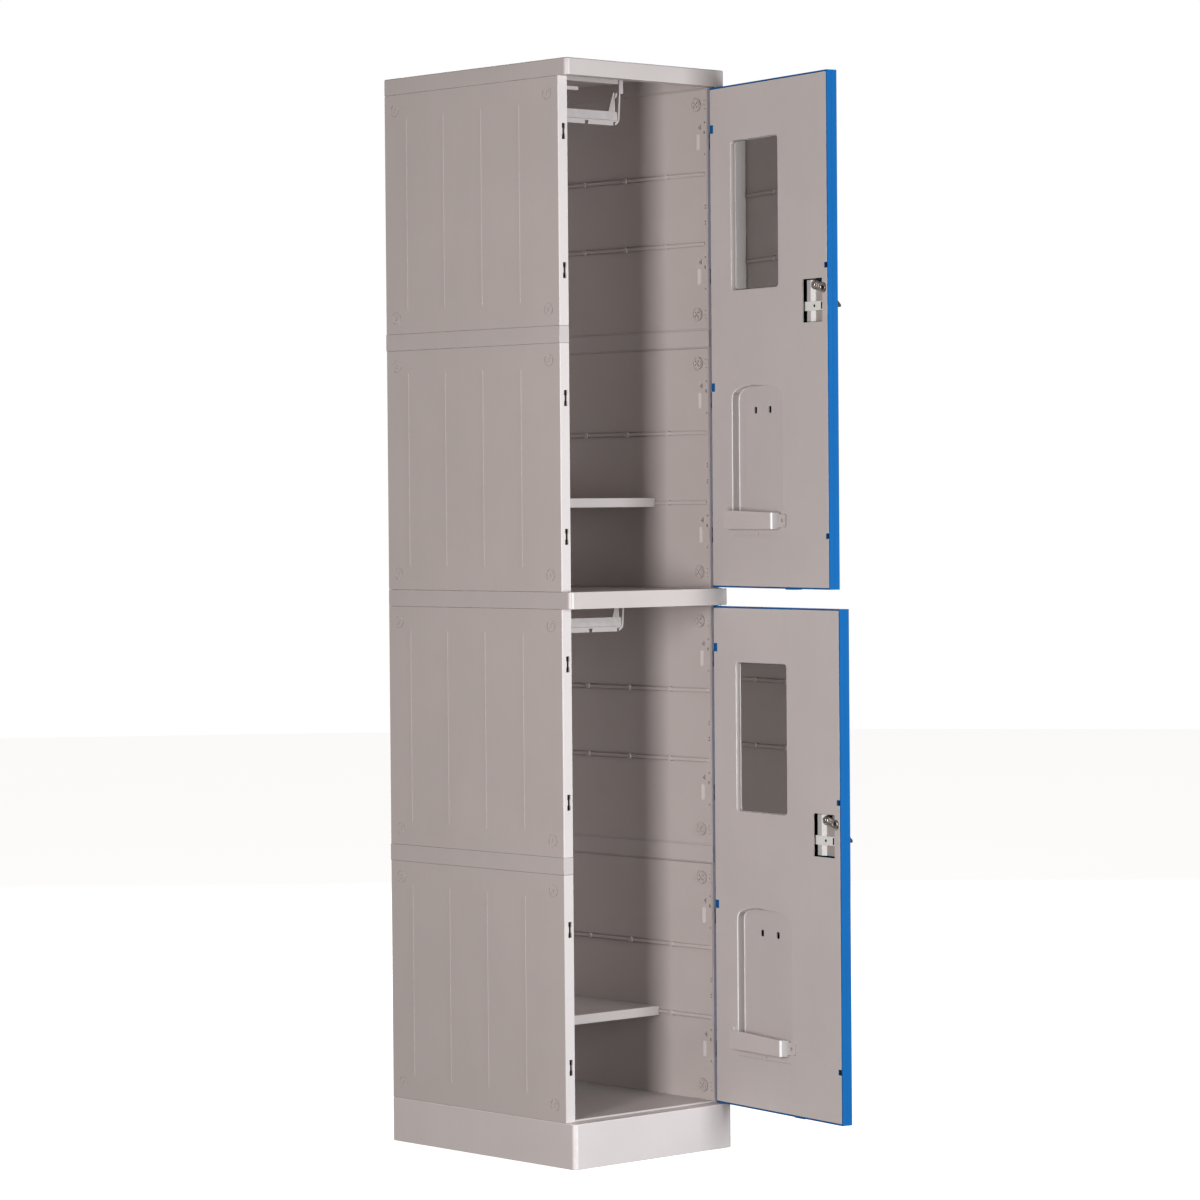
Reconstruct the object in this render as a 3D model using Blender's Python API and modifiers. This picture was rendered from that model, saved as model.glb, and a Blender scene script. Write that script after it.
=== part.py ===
"""School locker with two compartments, one above the other, built from moulded plastic boards.

Lengths are in metres. +X is to the right of the locker's front, +Y goes to its back and +Z up.
The origin is on the floor, under the middle of the carcass. Both doors stand open.
"""

import math

import bmesh
import bpy
from mathutils import Matrix

# Carcass
WIDTH = 0.382
DEPTH = 0.500
PLINTH_HEIGHT = 0.080
BAND_HEIGHT = 0.030  # cap, divider and joint strips
BOARD_HEIGHT = 0.435
WALL = 0.022
LIP_DEPTH = 0.024  # the lips stand this far in front of the side walls
SKIN = 0.0025
PROUD = 0.0008  # bands stand this far out of the boards
GAP = 0.0003  # between pieces that touch
PLATE = 0.004
CHANNEL_MARGIN = 0.0045

# Boards
RAIL_OFFSET = 0.063  # from a board's middle
RAIL_HEIGHT = 0.006
RAIL_DEPTH = 0.004
KNOB_INSET = 0.029
KNOB_RADIUS = 0.0115
KNOB_PROUD = 0.002
SLOT_OFFSET = 0.121
SLOT_HEIGHT = 0.028
SLOT_WIDTH = 0.0055
SLOT_IN = 0.0137  # from the wall's outer face to the slot's middle

# Shelves
SHELF_FRONT = -0.084
SHELF_THICKNESS = 0.017
SHELF_BELOW_RAIL = 0.0075
SHELF_SIDE = 0.010

# Coat-hanger rails
HANGER_FRONT = -0.094
HANGER_BACK = -0.066
HANGER_HALF = 0.0735  # half the bar's length
HANGER_LIP_END = 0.059
HANGER_PLATE = 0.003
HANGER_HEAD_RISE = 0.034  # the arms widen this far above the bar

# Doors, in the closed door's own frame: the hinge axis at its bottom edge, +X past the hinge,
# the free edge at -X, +Y into the locker.
DOOR_THICKNESS = 0.022
DOOR_CLEAR = 0.002  # above and below the door
DOOR_REACH = 0.369  # from the hinge axis to the free edge
HINGE_BAR = 0.009  # the solid bar round the hinge axis ends here
SHELL_SKIN = 0.0025
LINER_SKIN = 0.0025
PIN_RADIUS = 0.003
BORE_RADIUS = 0.0033
PIN_IN_DOOR = 0.019
PIN_IN_LIP = 0.012
UPPER_OPEN = math.radians(79.0)
LOWER_OPEN = math.radians(82.0)

MIRROR_WIDTH = 0.147
MIRROR_HEIGHT = 0.264
MIRROR_FROM_HINGE = 0.139
MIRROR_FROM_TOP = 0.2325
MIRROR_RADIUS = 0.008
MIRROR_THICKNESS = 0.003
MIRROR_SUNK = 0.0065
MIRROR_GAP = 0.0015

POCKET_LEFT = 0.064  # from the hinge axis
POCKET_RIGHT = 0.225
POCKET_TOP = 0.537  # from the door's top
POCKET_SPRING = 0.562
POCKET_BOTTOM = 0.803
POCKET_DEEP = 0.0150
POCKET_SHALLOW = 0.0015
SLITS_FROM_HINGE = (0.127, 0.178)
SLITS_FROM_TOP = 0.580
SLIT_WIDTH = 0.007
SLIT_HEIGHT = 0.014

HOLDER_LEFT = 0.058
HOLDER_RIGHT = 0.210
HOLDER_TOP = 0.758
HOLDER_HEIGHT = 0.033
HOLDER_OUT = 0.016
HOLDER_SKIN = 0.003
HOLDER_NEAR_FOOT = 0.008
HOLDER_FAR_FOOT = 0.020
HOLDER_SPLAY = 0.006  # of the leg away from the hinge

# Tabs of the shell that show through notches in the liner, by their distance from the door's top.
FREE_TABS = (0.3355, 0.8035)
FREE_TAB_HALF = 0.0045
HINGE_TABS = (0.074, 0.537)
HINGE_TAB_HALF = 0.0072
TAB_CLEAR = 0.0004

LOCK_FROM_HINGE = 0.3225
LOCK_FROM_TOP = 0.368
CUTOUT_LEFT = 0.294
CUTOUT_RIGHT = 0.351
CUTOUT_TOP = 0.357
CUTOUT_BOTTOM = 0.4325
LOBE_FROM_HINGE = 0.3540
LOBE_FROM_TOP = 0.3745
LOBE_RADIUS = 0.0095
CAM_REACH = 0.0245
CAM_DROP = math.radians(13.0)
CAM_LOW = 0.0050  # above the door's middle plane
CAM_HIGH = 0.0075

HALF_WIDTH = WIDTH / 2
INNER = HALF_WIDTH - WALL
FRONT = -DEPTH / 2
BACK = DEPTH / 2
WALL_FRONT = FRONT + LIP_DEPTH
BACK_INNER = BACK - WALL
BOARD_BASES = tuple(
    PLINTH_HEIGHT + index * (BOARD_HEIGHT + BAND_HEIGHT) for index in range(4)
)
DIVIDER_BASE = BOARD_BASES[2] - BAND_HEIGHT
CAP_BASE = BOARD_BASES[3] + BOARD_HEIGHT
HEIGHT = CAP_BASE + BAND_HEIGHT
KNOB_RISE = BOARD_HEIGHT / 2 - KNOB_INSET
HINGE_X = HALF_WIDTH - 0.012
HINGE_Y = WALL_FRONT - 0.012
DOOR_HEIGHT = CAP_BASE - BOARD_BASES[2] - 2 * DOOR_CLEAR
HALF_DOOR = DOOR_THICKNESS / 2


def clear_scene():
    for obj in list(bpy.data.objects):
        bpy.data.objects.remove(obj, do_unlink=True)


def new_collection(name):
    made = bpy.data.collections.new(name)
    bpy.context.scene.collection.children.link(made)
    return made


clear_scene()
PARTS = new_collection("school_locker")
CUTTERS = new_collection("cutters")


def material(name, colour, roughness, metallic=0.0):
    made = bpy.data.materials.new(name)
    made.use_nodes = True
    shader = made.node_tree.nodes["Principled BSDF"]
    shader.inputs["Base Color"].default_value = (*colour, 1.0)
    shader.inputs["Roughness"].default_value = roughness
    shader.inputs["Metallic"].default_value = metallic
    return made


GREY_PLASTIC = material("grey_plastic", (0.50, 0.46, 0.44), 0.45)
PALE_PLASTIC = material("pale_plastic", (0.60, 0.56, 0.54), 0.40)
BLUE_PLASTIC = material("blue_plastic", (0.03, 0.16, 0.52), 0.35)
WHITE_PLASTIC = material("white_plastic", (0.85, 0.84, 0.82), 0.35)
DARK_PLASTIC = material("dark_plastic", (0.04, 0.045, 0.05), 0.45)
MIRROR_GLASS = material("mirror_glass", (0.85, 0.87, 0.87), 0.03, 1.0)
CHROME = material("chrome", (0.75, 0.75, 0.74), 0.15, 1.0)
STEEL = material("steel", (0.55, 0.55, 0.54), 0.30, 1.0)


# ---------------------------------------------------------------- shapes


def place(name, mesh, finish, location=(0, 0, 0), parent=None):
    """An object in the locker's collection, or in the cutters' when it has no finish."""
    obj = bpy.data.objects.new(name, mesh)
    obj.location = location
    obj.parent = parent
    if finish is None:
        CUTTERS.objects.link(obj)
        obj.hide_render = True
        obj.display_type = "WIRE"
    else:
        PARTS.objects.link(obj)
        mesh.materials.append(finish)
    return obj


def block(name, low, high, finish=None, parent=None):
    """A box between two corners, with its origin at its middle."""
    size = [abs(b - a) for a, b in zip(low, high)]
    middle = [(a + b) / 2 for a, b in zip(low, high)]
    shape = bmesh.new()
    bmesh.ops.create_cube(shape, size=1.0, matrix=Matrix.Diagonal((*size, 1.0)))
    mesh = bpy.data.meshes.new(name)
    shape.to_mesh(mesh)
    shape.free()
    return place(name, mesh, finish, middle, parent)


def tray(name, low, high, open_side, finish, thickness=SKIN, parent=None):
    """A box that is open on one side, such as (0, 0, -1), with walls of one thickness."""
    obj = block(name, low, high, finish, parent)
    shape = bmesh.new()
    shape.from_mesh(obj.data)
    lid = [f for f in shape.faces if sum(a * b for a, b in zip(f.normal, open_side)) > 0.9]
    bmesh.ops.delete(shape, geom=lid, context="FACES_ONLY")
    shape.to_mesh(obj.data)
    shape.free()
    walls = obj.modifiers.new("walls", "SOLIDIFY")
    walls.thickness = thickness
    walls.offset = -1.0
    walls.use_even_offset = True
    return obj


AXIS_TURN = {
    "X": Matrix.Rotation(math.pi / 2, 4, "Y"),
    "Y": Matrix.Rotation(-math.pi / 2, 4, "X"),
    "Z": Matrix.Identity(4),
}


def rod(name, centre, radius, length, axis, finish=None, parent=None, segments=24):
    """A cylinder about a line along one axis, with its origin at its middle."""
    shape = bmesh.new()
    bmesh.ops.create_cone(
        shape,
        cap_ends=True,
        segments=segments,
        radius1=radius,
        radius2=radius,
        depth=length,
        matrix=AXIS_TURN[axis],
    )
    mesh = bpy.data.meshes.new(name)
    shape.to_mesh(mesh)
    shape.free()
    if finish is not None and segments > 8:
        mesh.shade_smooth()
        mesh.set_sharp_from_angle(angle=math.radians(30))
    return place(name, mesh, finish, centre, parent)


# An outline's (first, second) coordinates and its thickness go along these axes.
OUTLINE_AXES = {
    "XY": Matrix(((1, 0, 0, 0), (0, 1, 0, 0), (0, 0, 1, 0), (0, 0, 0, 1))),
    "XZ": Matrix(((1, 0, 0, 0), (0, 0, -1, 0), (0, 1, 0, 0), (0, 0, 0, 1))),
    "YZ": Matrix(((0, 0, 1, 0), (1, 0, 0, 0), (0, 1, 0, 0), (0, 0, 0, 1))),
}


def outlined(name, loops, plane, start, end, finish=None, parent=None):
    """A flat outline in one plane, given thickness from start to end along the third axis."""
    curve = bpy.data.curves.new(name, "CURVE")
    curve.dimensions = "2D"
    curve.fill_mode = "BOTH"
    curve.extrude = abs(end - start) / 2
    for loop in loops:
        spline = curve.splines.new("POLY")
        spline.points.add(len(loop) - 1)
        for point, (first, second) in zip(spline.points, loop):
            point.co = (first, second, 0, 1)
        spline.use_cyclic_u = True
    guide = bpy.data.objects.new(name + "_outline", curve)
    CUTTERS.objects.link(guide)
    graph = bpy.context.evaluated_depsgraph_get()
    mesh = bpy.data.meshes.new_from_object(guide.evaluated_get(graph))
    mesh.name = name
    bpy.data.objects.remove(guide, do_unlink=True)
    shape = bmesh.new()
    shape.from_mesh(mesh)
    bmesh.ops.remove_doubles(shape, verts=shape.verts, dist=0.00001)
    bmesh.ops.transform(shape, matrix=OUTLINE_AXES[plane], verts=shape.verts)
    bmesh.ops.recalc_face_normals(shape, faces=shape.faces)
    shape.to_mesh(mesh)
    shape.free()
    middle = (start + end) / 2
    location = {"XY": (0, 0, middle), "XZ": (0, middle, 0), "YZ": (middle, 0, 0)}[plane]
    return place(name, mesh, finish, location, parent)


def arc(centre, radius, start, end, steps):
    """Points on an arc, from one angle to another in degrees."""
    turns = (math.radians(start + (end - start) * step / steps) for step in range(steps + 1))
    return [(centre[0] + radius * math.cos(t), centre[1] + radius * math.sin(t)) for t in turns]


def round_rectangle(left, bottom, right, top, radius, steps=5):
    return (
        arc((right - radius, bottom + radius), radius, -90, 0, steps)
        + arc((right - radius, top - radius), radius, 0, 90, steps)
        + arc((left + radius, top - radius), radius, 90, 180, steps)
        + arc((left + radius, bottom + radius), radius, 180, 270, steps)
    )


def combine(obj, other, operation):
    step = obj.modifiers.new(other.name, "BOOLEAN")
    step.operation = operation
    step.object = other
    step.solver = "EXACT"


def cut(obj, *others):
    for other in others:
        combine(obj, other, "DIFFERENCE")


def join(obj, *others):
    for other in others:
        combine(obj, other, "UNION")


def bevel(obj, width, segments=2):
    edges = obj.modifiers.new("rounded", "BEVEL")
    edges.width = width
    edges.segments = segments
    edges.limit_method = "ANGLE"


# ---------------------------------------------------------------- carcass


def band_channels(name, bottom, top):
    """Hollows that lighten the side and back rims of a band from below."""
    reach = BACK - CHANNEL_MARGIN
    made = []
    for side, sign in (("left", -1), ("right", 1)):
        inside = sign * (INNER + CHANNEL_MARGIN)
        outside = sign * (HALF_WIDTH - CHANNEL_MARGIN)
        low = (min(inside, outside), WALL_FRONT + CHANNEL_MARGIN, bottom)
        high = (max(inside, outside), reach, top)
        made.append(block(f"{name}_{side}_channel", low, high))
    half = INNER - CHANNEL_MARGIN
    low = (-half, BACK_INNER + CHANNEL_MARGIN, bottom)
    made.append(block(f"{name}_back_channel", low, (half, reach, top)))
    return made


def pin_bore(name, z, length):
    return rod(name, (HINGE_X, HINGE_Y, z), BORE_RADIUS, length, "Z")


def band(name, base, height, finish):
    """A full-width panel: a top plate on a rim, open underneath."""
    top = base + height
    panel = block(name, (-HALF_WIDTH, FRONT, base), (HALF_WIDTH, BACK, top), finish)
    bevel(panel, 0.0025)
    low = (-INNER, WALL_FRONT, base - 0.01)
    cavity = block(f"{name}_cavity", low, (INNER, BACK_INNER, top - PLATE))
    cut(panel, cavity, *band_channels(name, base - 0.01, top - PLATE))
    return panel


def top_panel():
    panel = band("top_panel", CAP_BASE, BAND_HEIGHT, PALE_PLASTIC)
    cut(panel, pin_bore("top_panel_bore", CAP_BASE, 2 * PIN_IN_LIP + 0.001))


def divider_panel():
    panel = band("divider_panel", DIVIDER_BASE, BAND_HEIGHT, PALE_PLASTIC)
    for label, z in (("lower", DIVIDER_BASE), ("upper", DIVIDER_BASE + BAND_HEIGHT)):
        cut(panel, pin_bore(f"divider_{label}_bore", z, 2 * PIN_IN_LIP + 0.001))


def base_plinth():
    plinth = band("base_plinth", 0.0, PLINTH_HEIGHT, PALE_PLASTIC)
    low = (-HALF_WIDTH + CHANNEL_MARGIN, FRONT + CHANNEL_MARGIN, -0.01)
    high = (HALF_WIDTH - CHANNEL_MARGIN, WALL_FRONT - CHANNEL_MARGIN, 0.060)
    cut(plinth, block("plinth_front_channel", low, high))
    cut(plinth, pin_bore("plinth_bore", PLINTH_HEIGHT, 2 * PIN_IN_LIP + 0.001))
    rib = 0.008
    rib_top = PLINTH_HEIGHT - 0.002
    across = block("plinth_rib_across", (-INNER - 0.002, -rib, 0.0), (INNER + 0.002, rib, rib_top))
    along_low = (-rib, WALL_FRONT - 0.002, 0.0)
    along = block("plinth_rib_along", along_low, (rib, BACK_INNER + 0.002, rib_top))
    join(plinth, across, along)


def floor_panel():
    low = (-INNER + GAP, WALL_FRONT + GAP, PLINTH_HEIGHT + GAP)
    high = (INNER - GAP, BACK_INNER - GAP, PLINTH_HEIGHT + PLATE)
    panel = block("floor_panel", low, high, PALE_PLASTIC)
    bevel(panel, 0.001, 1)


def span(sign, near, far):
    """Lowest and highest x between two distances from the middle plane, on one side."""
    return min(sign * near, sign * far), max(sign * near, sign * far)


def outer_board(side, sign, number, base):
    name = f"{side}_outer_board_{number}"
    x_low, x_high = span(sign, INNER, HALF_WIDTH - PROUD)
    low = (x_low, WALL_FRONT, base + GAP)
    high = (x_high, BACK - PROUD, base + BOARD_HEIGHT - GAP)
    board = tray(name, low, high, (-sign, 0, 0), GREY_PLASTIC)
    middle = base + BOARD_HEIGHT / 2
    slot_x = HALF_WIDTH - SLOT_IN
    for label, rise in (("low", -SLOT_OFFSET), ("high", SLOT_OFFSET)):
        x_low, x_high = span(sign, slot_x - SLOT_WIDTH / 2, slot_x + SLOT_WIDTH / 2)
        z = middle + rise
        low = (x_low, WALL_FRONT - 0.005, z - SLOT_HEIGHT / 2)
        high = (x_high, WALL_FRONT + 0.005, z + SLOT_HEIGHT / 2)
        cut(board, block(f"{name}_{label}_slot", low, high))


def inner_board(side, sign, number, base):
    name = f"{side}_inner_board_{number}"
    x_low, x_high = span(sign, INNER, INNER + SKIN)
    edge = SKIN + GAP
    low = (x_low, WALL_FRONT + edge, base + GAP + edge)
    high = (x_high, BACK - PROUD - edge, base + BOARD_HEIGHT - GAP - edge)
    board = block(name, low, high, GREY_PLASTIC)
    middle = base + BOARD_HEIGHT / 2
    for label, rise in (("low", -RAIL_OFFSET), ("high", RAIL_OFFSET)):
        z = middle + rise
        x_low, x_high = span(sign, INNER - RAIL_DEPTH, INNER + SKIN / 2)
        low = (x_low, WALL_FRONT + 0.007, z - RAIL_HEIGHT / 2)
        high = (x_high, BACK_INNER - 0.003, z + RAIL_HEIGHT / 2)
        join(board, block(f"{name}_{label}_rail", low, high))
    outside = HALF_WIDTH - PROUD - SKIN - GAP
    front_knobs = ("front", WALL_FRONT + KNOB_INSET, INNER - KNOB_PROUD)
    back_knobs = ("back", BACK - PROUD - KNOB_INSET, INNER + SKIN / 2)
    for end, y, inside in (front_knobs, back_knobs):
        for label, rise in (("low", -KNOB_RISE), ("high", KNOB_RISE)):
            centre = (sign * (inside + outside) / 2, y, middle + rise)
            boss = rod(f"{name}_{end}_{label}_boss", centre, KNOB_RADIUS, outside - inside, "X")
            join(board, boss)


def joint_strip(name, low, high):
    strip = tray(name, low, high, (0, 0, -1), PALE_PLASTIC, SKIN)
    bevel(strip, 0.0006, 1)


def back_board(number, base):
    name = f"back_board_{number}"
    half = INNER - PROUD - GAP
    low = (-half, BACK_INNER, base + GAP)
    high = (half, BACK - PROUD, base + BOARD_HEIGHT - GAP)
    board = block(name, low, high, GREY_PLASTIC)
    hollow_low = (-half + SKIN, BACK_INNER + SKIN, base - 0.01)
    hollow_high = (half - SKIN, BACK - PROUD - SKIN, base + BOARD_HEIGHT + 0.01)
    cut(board, block(f"{name}_hollow", hollow_low, hollow_high))


def walls():
    for number, base in enumerate(BOARD_BASES, start=1):
        back_board(number, base)
        for side, sign in (("left", -1), ("right", 1)):
            outer_board(side, sign, number, base)
            inner_board(side, sign, number, base)
    for level, base in (("lower", BOARD_BASES[1]), ("upper", BOARD_BASES[3])):
        bottom = base - BAND_HEIGHT
        for side, sign in (("left", -1), ("right", 1)):
            x_low, x_high = span(sign, INNER - PROUD, HALF_WIDTH)
            low = (x_low, WALL_FRONT, bottom)
            joint_strip(f"{side}_joint_strip_{level}", low, (x_high, BACK, base))
        half = INNER - PROUD - GAP
        low = (-half, BACK_INNER - PROUD, bottom)
        joint_strip(f"back_joint_strip_{level}", low, (half, BACK, base))


# ---------------------------------------------------------------- fittings


def shelf(level, board_base):
    """A tray, open underneath, with a groove in each side for the wall's lowest rail."""
    rail = board_base + BOARD_HEIGHT / 2 - RAIL_OFFSET
    bottom = rail - SHELF_BELOW_RAIL
    top = bottom + SHELF_THICKNESS
    half = INNER - 2 * GAP
    back = BACK_INNER - PROUD - GAP
    name = f"{level}_shelf"
    board = block(name, (-half, SHELF_FRONT, bottom), (half, back, top), PALE_PLASTIC)
    bevel(board, 0.001, 1)
    low = (-half + SHELF_SIDE, SHELF_FRONT + SKIN, bottom - 0.01)
    cut(board, block(f"{name}_cavity", low, (half - SHELF_SIDE, back - SKIN, top - SKIN)))
    for side, sign in (("left", -1), ("right", 1)):
        x_low, x_high = span(sign, INNER - RAIL_DEPTH - GAP, INNER + 0.01)
        rise = RAIL_HEIGHT / 2 + GAP
        low = (x_low, SHELF_FRONT - 0.01, rail - rise)
        cut(board, block(f"{name}_{side}_groove", low, (x_high, back + 0.01, rail + rise)))


def hanger_bar(name, bar_top):
    """The bar: a flat top, a sloping front and a lip with a leaning notch and open ends."""
    front, back, plate = HANGER_FRONT, HANGER_BACK, HANGER_PLATE
    section = [
        (back, bar_top),
        (front + 0.003, bar_top),
        (front, bar_top - 0.0150),
        (front - 0.0020, bar_top - 0.0170),
        (front - 0.0020, bar_top - 0.0255),
        (front + 0.0010, bar_top - 0.0255),
        (front + 0.0010, bar_top - 0.0185),
        (front + plate, bar_top - 0.0160),
        (front + 2 * plate, bar_top - plate),
        (back, bar_top - plate),
    ]
    bar = outlined(name, [section], "YZ", -HANGER_HALF, HANGER_HALF, PALE_PLASTIC)
    high, low = bar_top - 0.0190, bar_top - 0.0300
    start, end = front - 0.006, front + 0.0025
    notch = [(-0.0098, high), (-0.0008, high), (-0.0052, low), (-0.0088, low)]
    cut(bar, outlined(f"{name}_notch", [notch], "XZ", start, end))
    for sign in (-1, 1):
        x_low, x_high = span(sign, HANGER_LIP_END, HANGER_HALF + 0.01)
        cut(bar, block(f"{name}_opening_{sign}", (x_low, start, low), (x_high, end, high)))
    return bar


def hanger_arm(name, sign, bar_top, top):
    """One arm: a head, a narrow strut that curls under the bar, a finger and a brace on the bar."""
    front = HANGER_FRONT
    head = bar_top + HANGER_HEAD_RISE
    centre = (0.0600, bar_top - 0.0100)
    strut = arc(centre, 0.0154, -72, 0, 6) + [(0.0784, head + 0.001), (0.0747, head + 0.001)]
    strut += arc(centre, 0.0118, 0, -72, 6)
    brace = [
        (0.0535, bar_top - 0.001),
        (0.0700, bar_top - 0.001),
        (0.0680, head + 0.0005),
        (0.0655, head + 0.0005),
    ]
    finger = [
        (0.0750, head + 0.001),
        (0.0785, head + 0.001),
        (0.0757, head - 0.0085),
        (0.0728, head - 0.0090),
    ]
    x_low, x_high = span(sign, 0.0745, 0.0842)
    pieces = [block(f"{name}_head", (x_low, front - 0.0014, head - 0.001), (x_high, front + 0.008, top))]
    for label, outline, near, far in (
        ("strut", strut, -0.001, 0.0036),
        ("brace", brace, 0.0046, 0.0076),
        ("finger", finger, 0.0046, 0.0076),
    ):
        outline = [(sign * x, z) for x, z in outline]
        pieces.append(outlined(f"{name}_{label}", [outline], "XZ", front + near, front + far))
    return pieces


def hanger_rail(level, ceiling, bar_top):
    """A notched bar on two arms under a crossbar, fixed to the ceiling."""
    name = f"{level}_hanger_rail"
    front = HANGER_FRONT
    top = ceiling - GAP
    rail = hanger_bar(name, bar_top)
    for side, sign in (("left", -1), ("right", 1)):
        for piece in hanger_arm(f"{name}_{side}", sign, bar_top, top - 0.0005):
            join(rail, piece)
    low = (-0.0712, front - 0.003, ceiling - (ceiling - bar_top - HANGER_HEAD_RISE) / 2)
    join(rail, block(f"{name}_crossbar", low, (0.0712, front + 0.020, top - 0.001)))
    low = (-0.0860, front - 0.002, ceiling - 0.004)
    join(rail, block(f"{name}_strap", low, (0.0860, front + 0.018, top)))
    low = (-0.0800, front + 0.0015, bar_top + 0.0335)
    join(rail, block(f"{name}_tongue", low, (-0.0220, front + 0.0055, bar_top + 0.0400)))


def hinge_pin(name, lip_face, upward):
    """A pin in a lip's bore. Upward pins hold a door's bottom edge."""
    low = lip_face - PIN_IN_LIP + GAP
    high = lip_face + DOOR_CLEAR + PIN_IN_DOOR - GAP
    if not upward:
        low, high = 2 * lip_face - high, 2 * lip_face - low
    pin = rod(name, (HINGE_X, HINGE_Y, (low + high) / 2), PIN_RADIUS, high - low, "Z", STEEL)
    bevel(pin, 0.0005, 1)


# ---------------------------------------------------------------- doors


def pivot_empty(level, base, opened):
    """The closed door's own frame, turned open about the hinge axis."""
    empty = bpy.data.objects.new(f"{level}_door_pivot", None)
    empty.location = (HINGE_X, HINGE_Y, base + DOOR_CLEAR)
    empty.rotation_euler = (0, 0, opened)
    PARTS.objects.link(empty)
    return empty


def shell_outline():
    corner = 0.003
    edge = -DOOR_REACH
    return (
        [(edge, HALF_DOOR)]
        + arc((edge + corner, -HALF_DOOR + corner), corner, 180, 270, 4)
        + arc((0, 0), HALF_DOOR, -90, 74, 16)
    )


def door_shell(level, pivot):
    """The outer pan with a rim all round, and a solid bar along the hinge axis."""
    name = f"{level}_door_shell"
    shell = outlined(name, [shell_outline()], "XY", 0, DOOR_HEIGHT, BLUE_PLASTIC, pivot)
    rim = SHELL_SKIN
    inside = -DOOR_REACH + rim
    top = DOOR_HEIGHT - rim
    cut(shell, block(f"{name}_cavity", (inside, rim - HALF_DOOR, rim), (-HINGE_BAR, 0.02, top), None, pivot))
    seat = HALF_DOOR - LINER_SKIN - GAP
    cut(shell, block(f"{name}_seat", (-HINGE_BAR - 0.001, seat, rim), (0.02, 0.02, top), None, pivot))
    for label, z in (("bottom", 0.0), ("top", DOOR_HEIGHT)):
        bore = rod(f"{name}_{label}_bore", (0, 0, z), BORE_RADIUS, 2 * PIN_IN_DOOR, "Z", None, pivot)
        cut(shell, bore)
    for drop in FREE_TABS:
        z = DOOR_HEIGHT - drop
        low = (inside - 0.001, 0.004, z - FREE_TAB_HALF)
        high = (inside + 0.0085, HALF_DOOR - 0.0002, z + FREE_TAB_HALF)
        join(shell, block(f"{name}_free_tab_{round(drop * 1000)}", low, high, None, pivot))
    for drop in HINGE_TABS:
        z = DOOR_HEIGHT - drop
        low = (-0.0075, seat - 0.001, z - HINGE_TAB_HALF)
        high = (0.0022, HALF_DOOR - 0.0002, z + HINGE_TAB_HALF)
        join(shell, block(f"{name}_hinge_tab_{round(drop * 1000)}", low, high, None, pivot))
    low = (-0.256, -HALF_DOOR + 0.004, -0.0015)
    join(shell, block(f"{name}_foot", low, (-0.228, HALF_DOOR - 0.002, 0.001), None, pivot))
    z = DOOR_HEIGHT - LOCK_FROM_TOP
    hole = rod(f"{name}_lock_hole", (-LOCK_FROM_HINGE, -HALF_DOOR, z), 0.0095, 0.02, "Y", None, pivot, 32)
    cut(shell, hole)


def pocket_outline(margin):
    """The umbrella pocket's outline: straight sides under a flat arch."""
    middle = -(POCKET_LEFT + POCKET_RIGHT) / 2
    half = (POCKET_RIGHT - POCKET_LEFT) / 2 + margin
    spring = DOOR_HEIGHT - POCKET_SPRING
    rise = POCKET_SPRING - POCKET_TOP + margin
    bottom = DOOR_HEIGHT - POCKET_BOTTOM - margin
    flatness = 2 / 2.8
    points = [(middle - half, bottom), (middle + half, bottom)]
    steps = 18
    for step in range(steps + 1):
        turn = math.pi * step / steps
        across = math.copysign(abs(math.cos(turn)) ** flatness, math.cos(turn))
        points.append((middle + half * across, spring + rise * math.sin(turn) ** flatness))
    return points


def pocket(name, margin, face, pivot):
    """The pocket's shape, with a floor that slopes from deep at the hinge to shallow."""
    made = outlined(name, [pocket_outline(margin)], "XZ", -0.02, face, None, pivot)
    near, far = -POCKET_LEFT, -POCKET_RIGHT
    slope = (POCKET_DEEP - POCKET_SHALLOW) / (near - far)
    middle = made.location.y
    for vertex in made.data.vertices:
        if vertex.co.y < 0:
            depth = POCKET_SHALLOW + slope * (vertex.co.x - far) + margin
            vertex.co.y = HALF_DOOR - depth - middle
    return made


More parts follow.
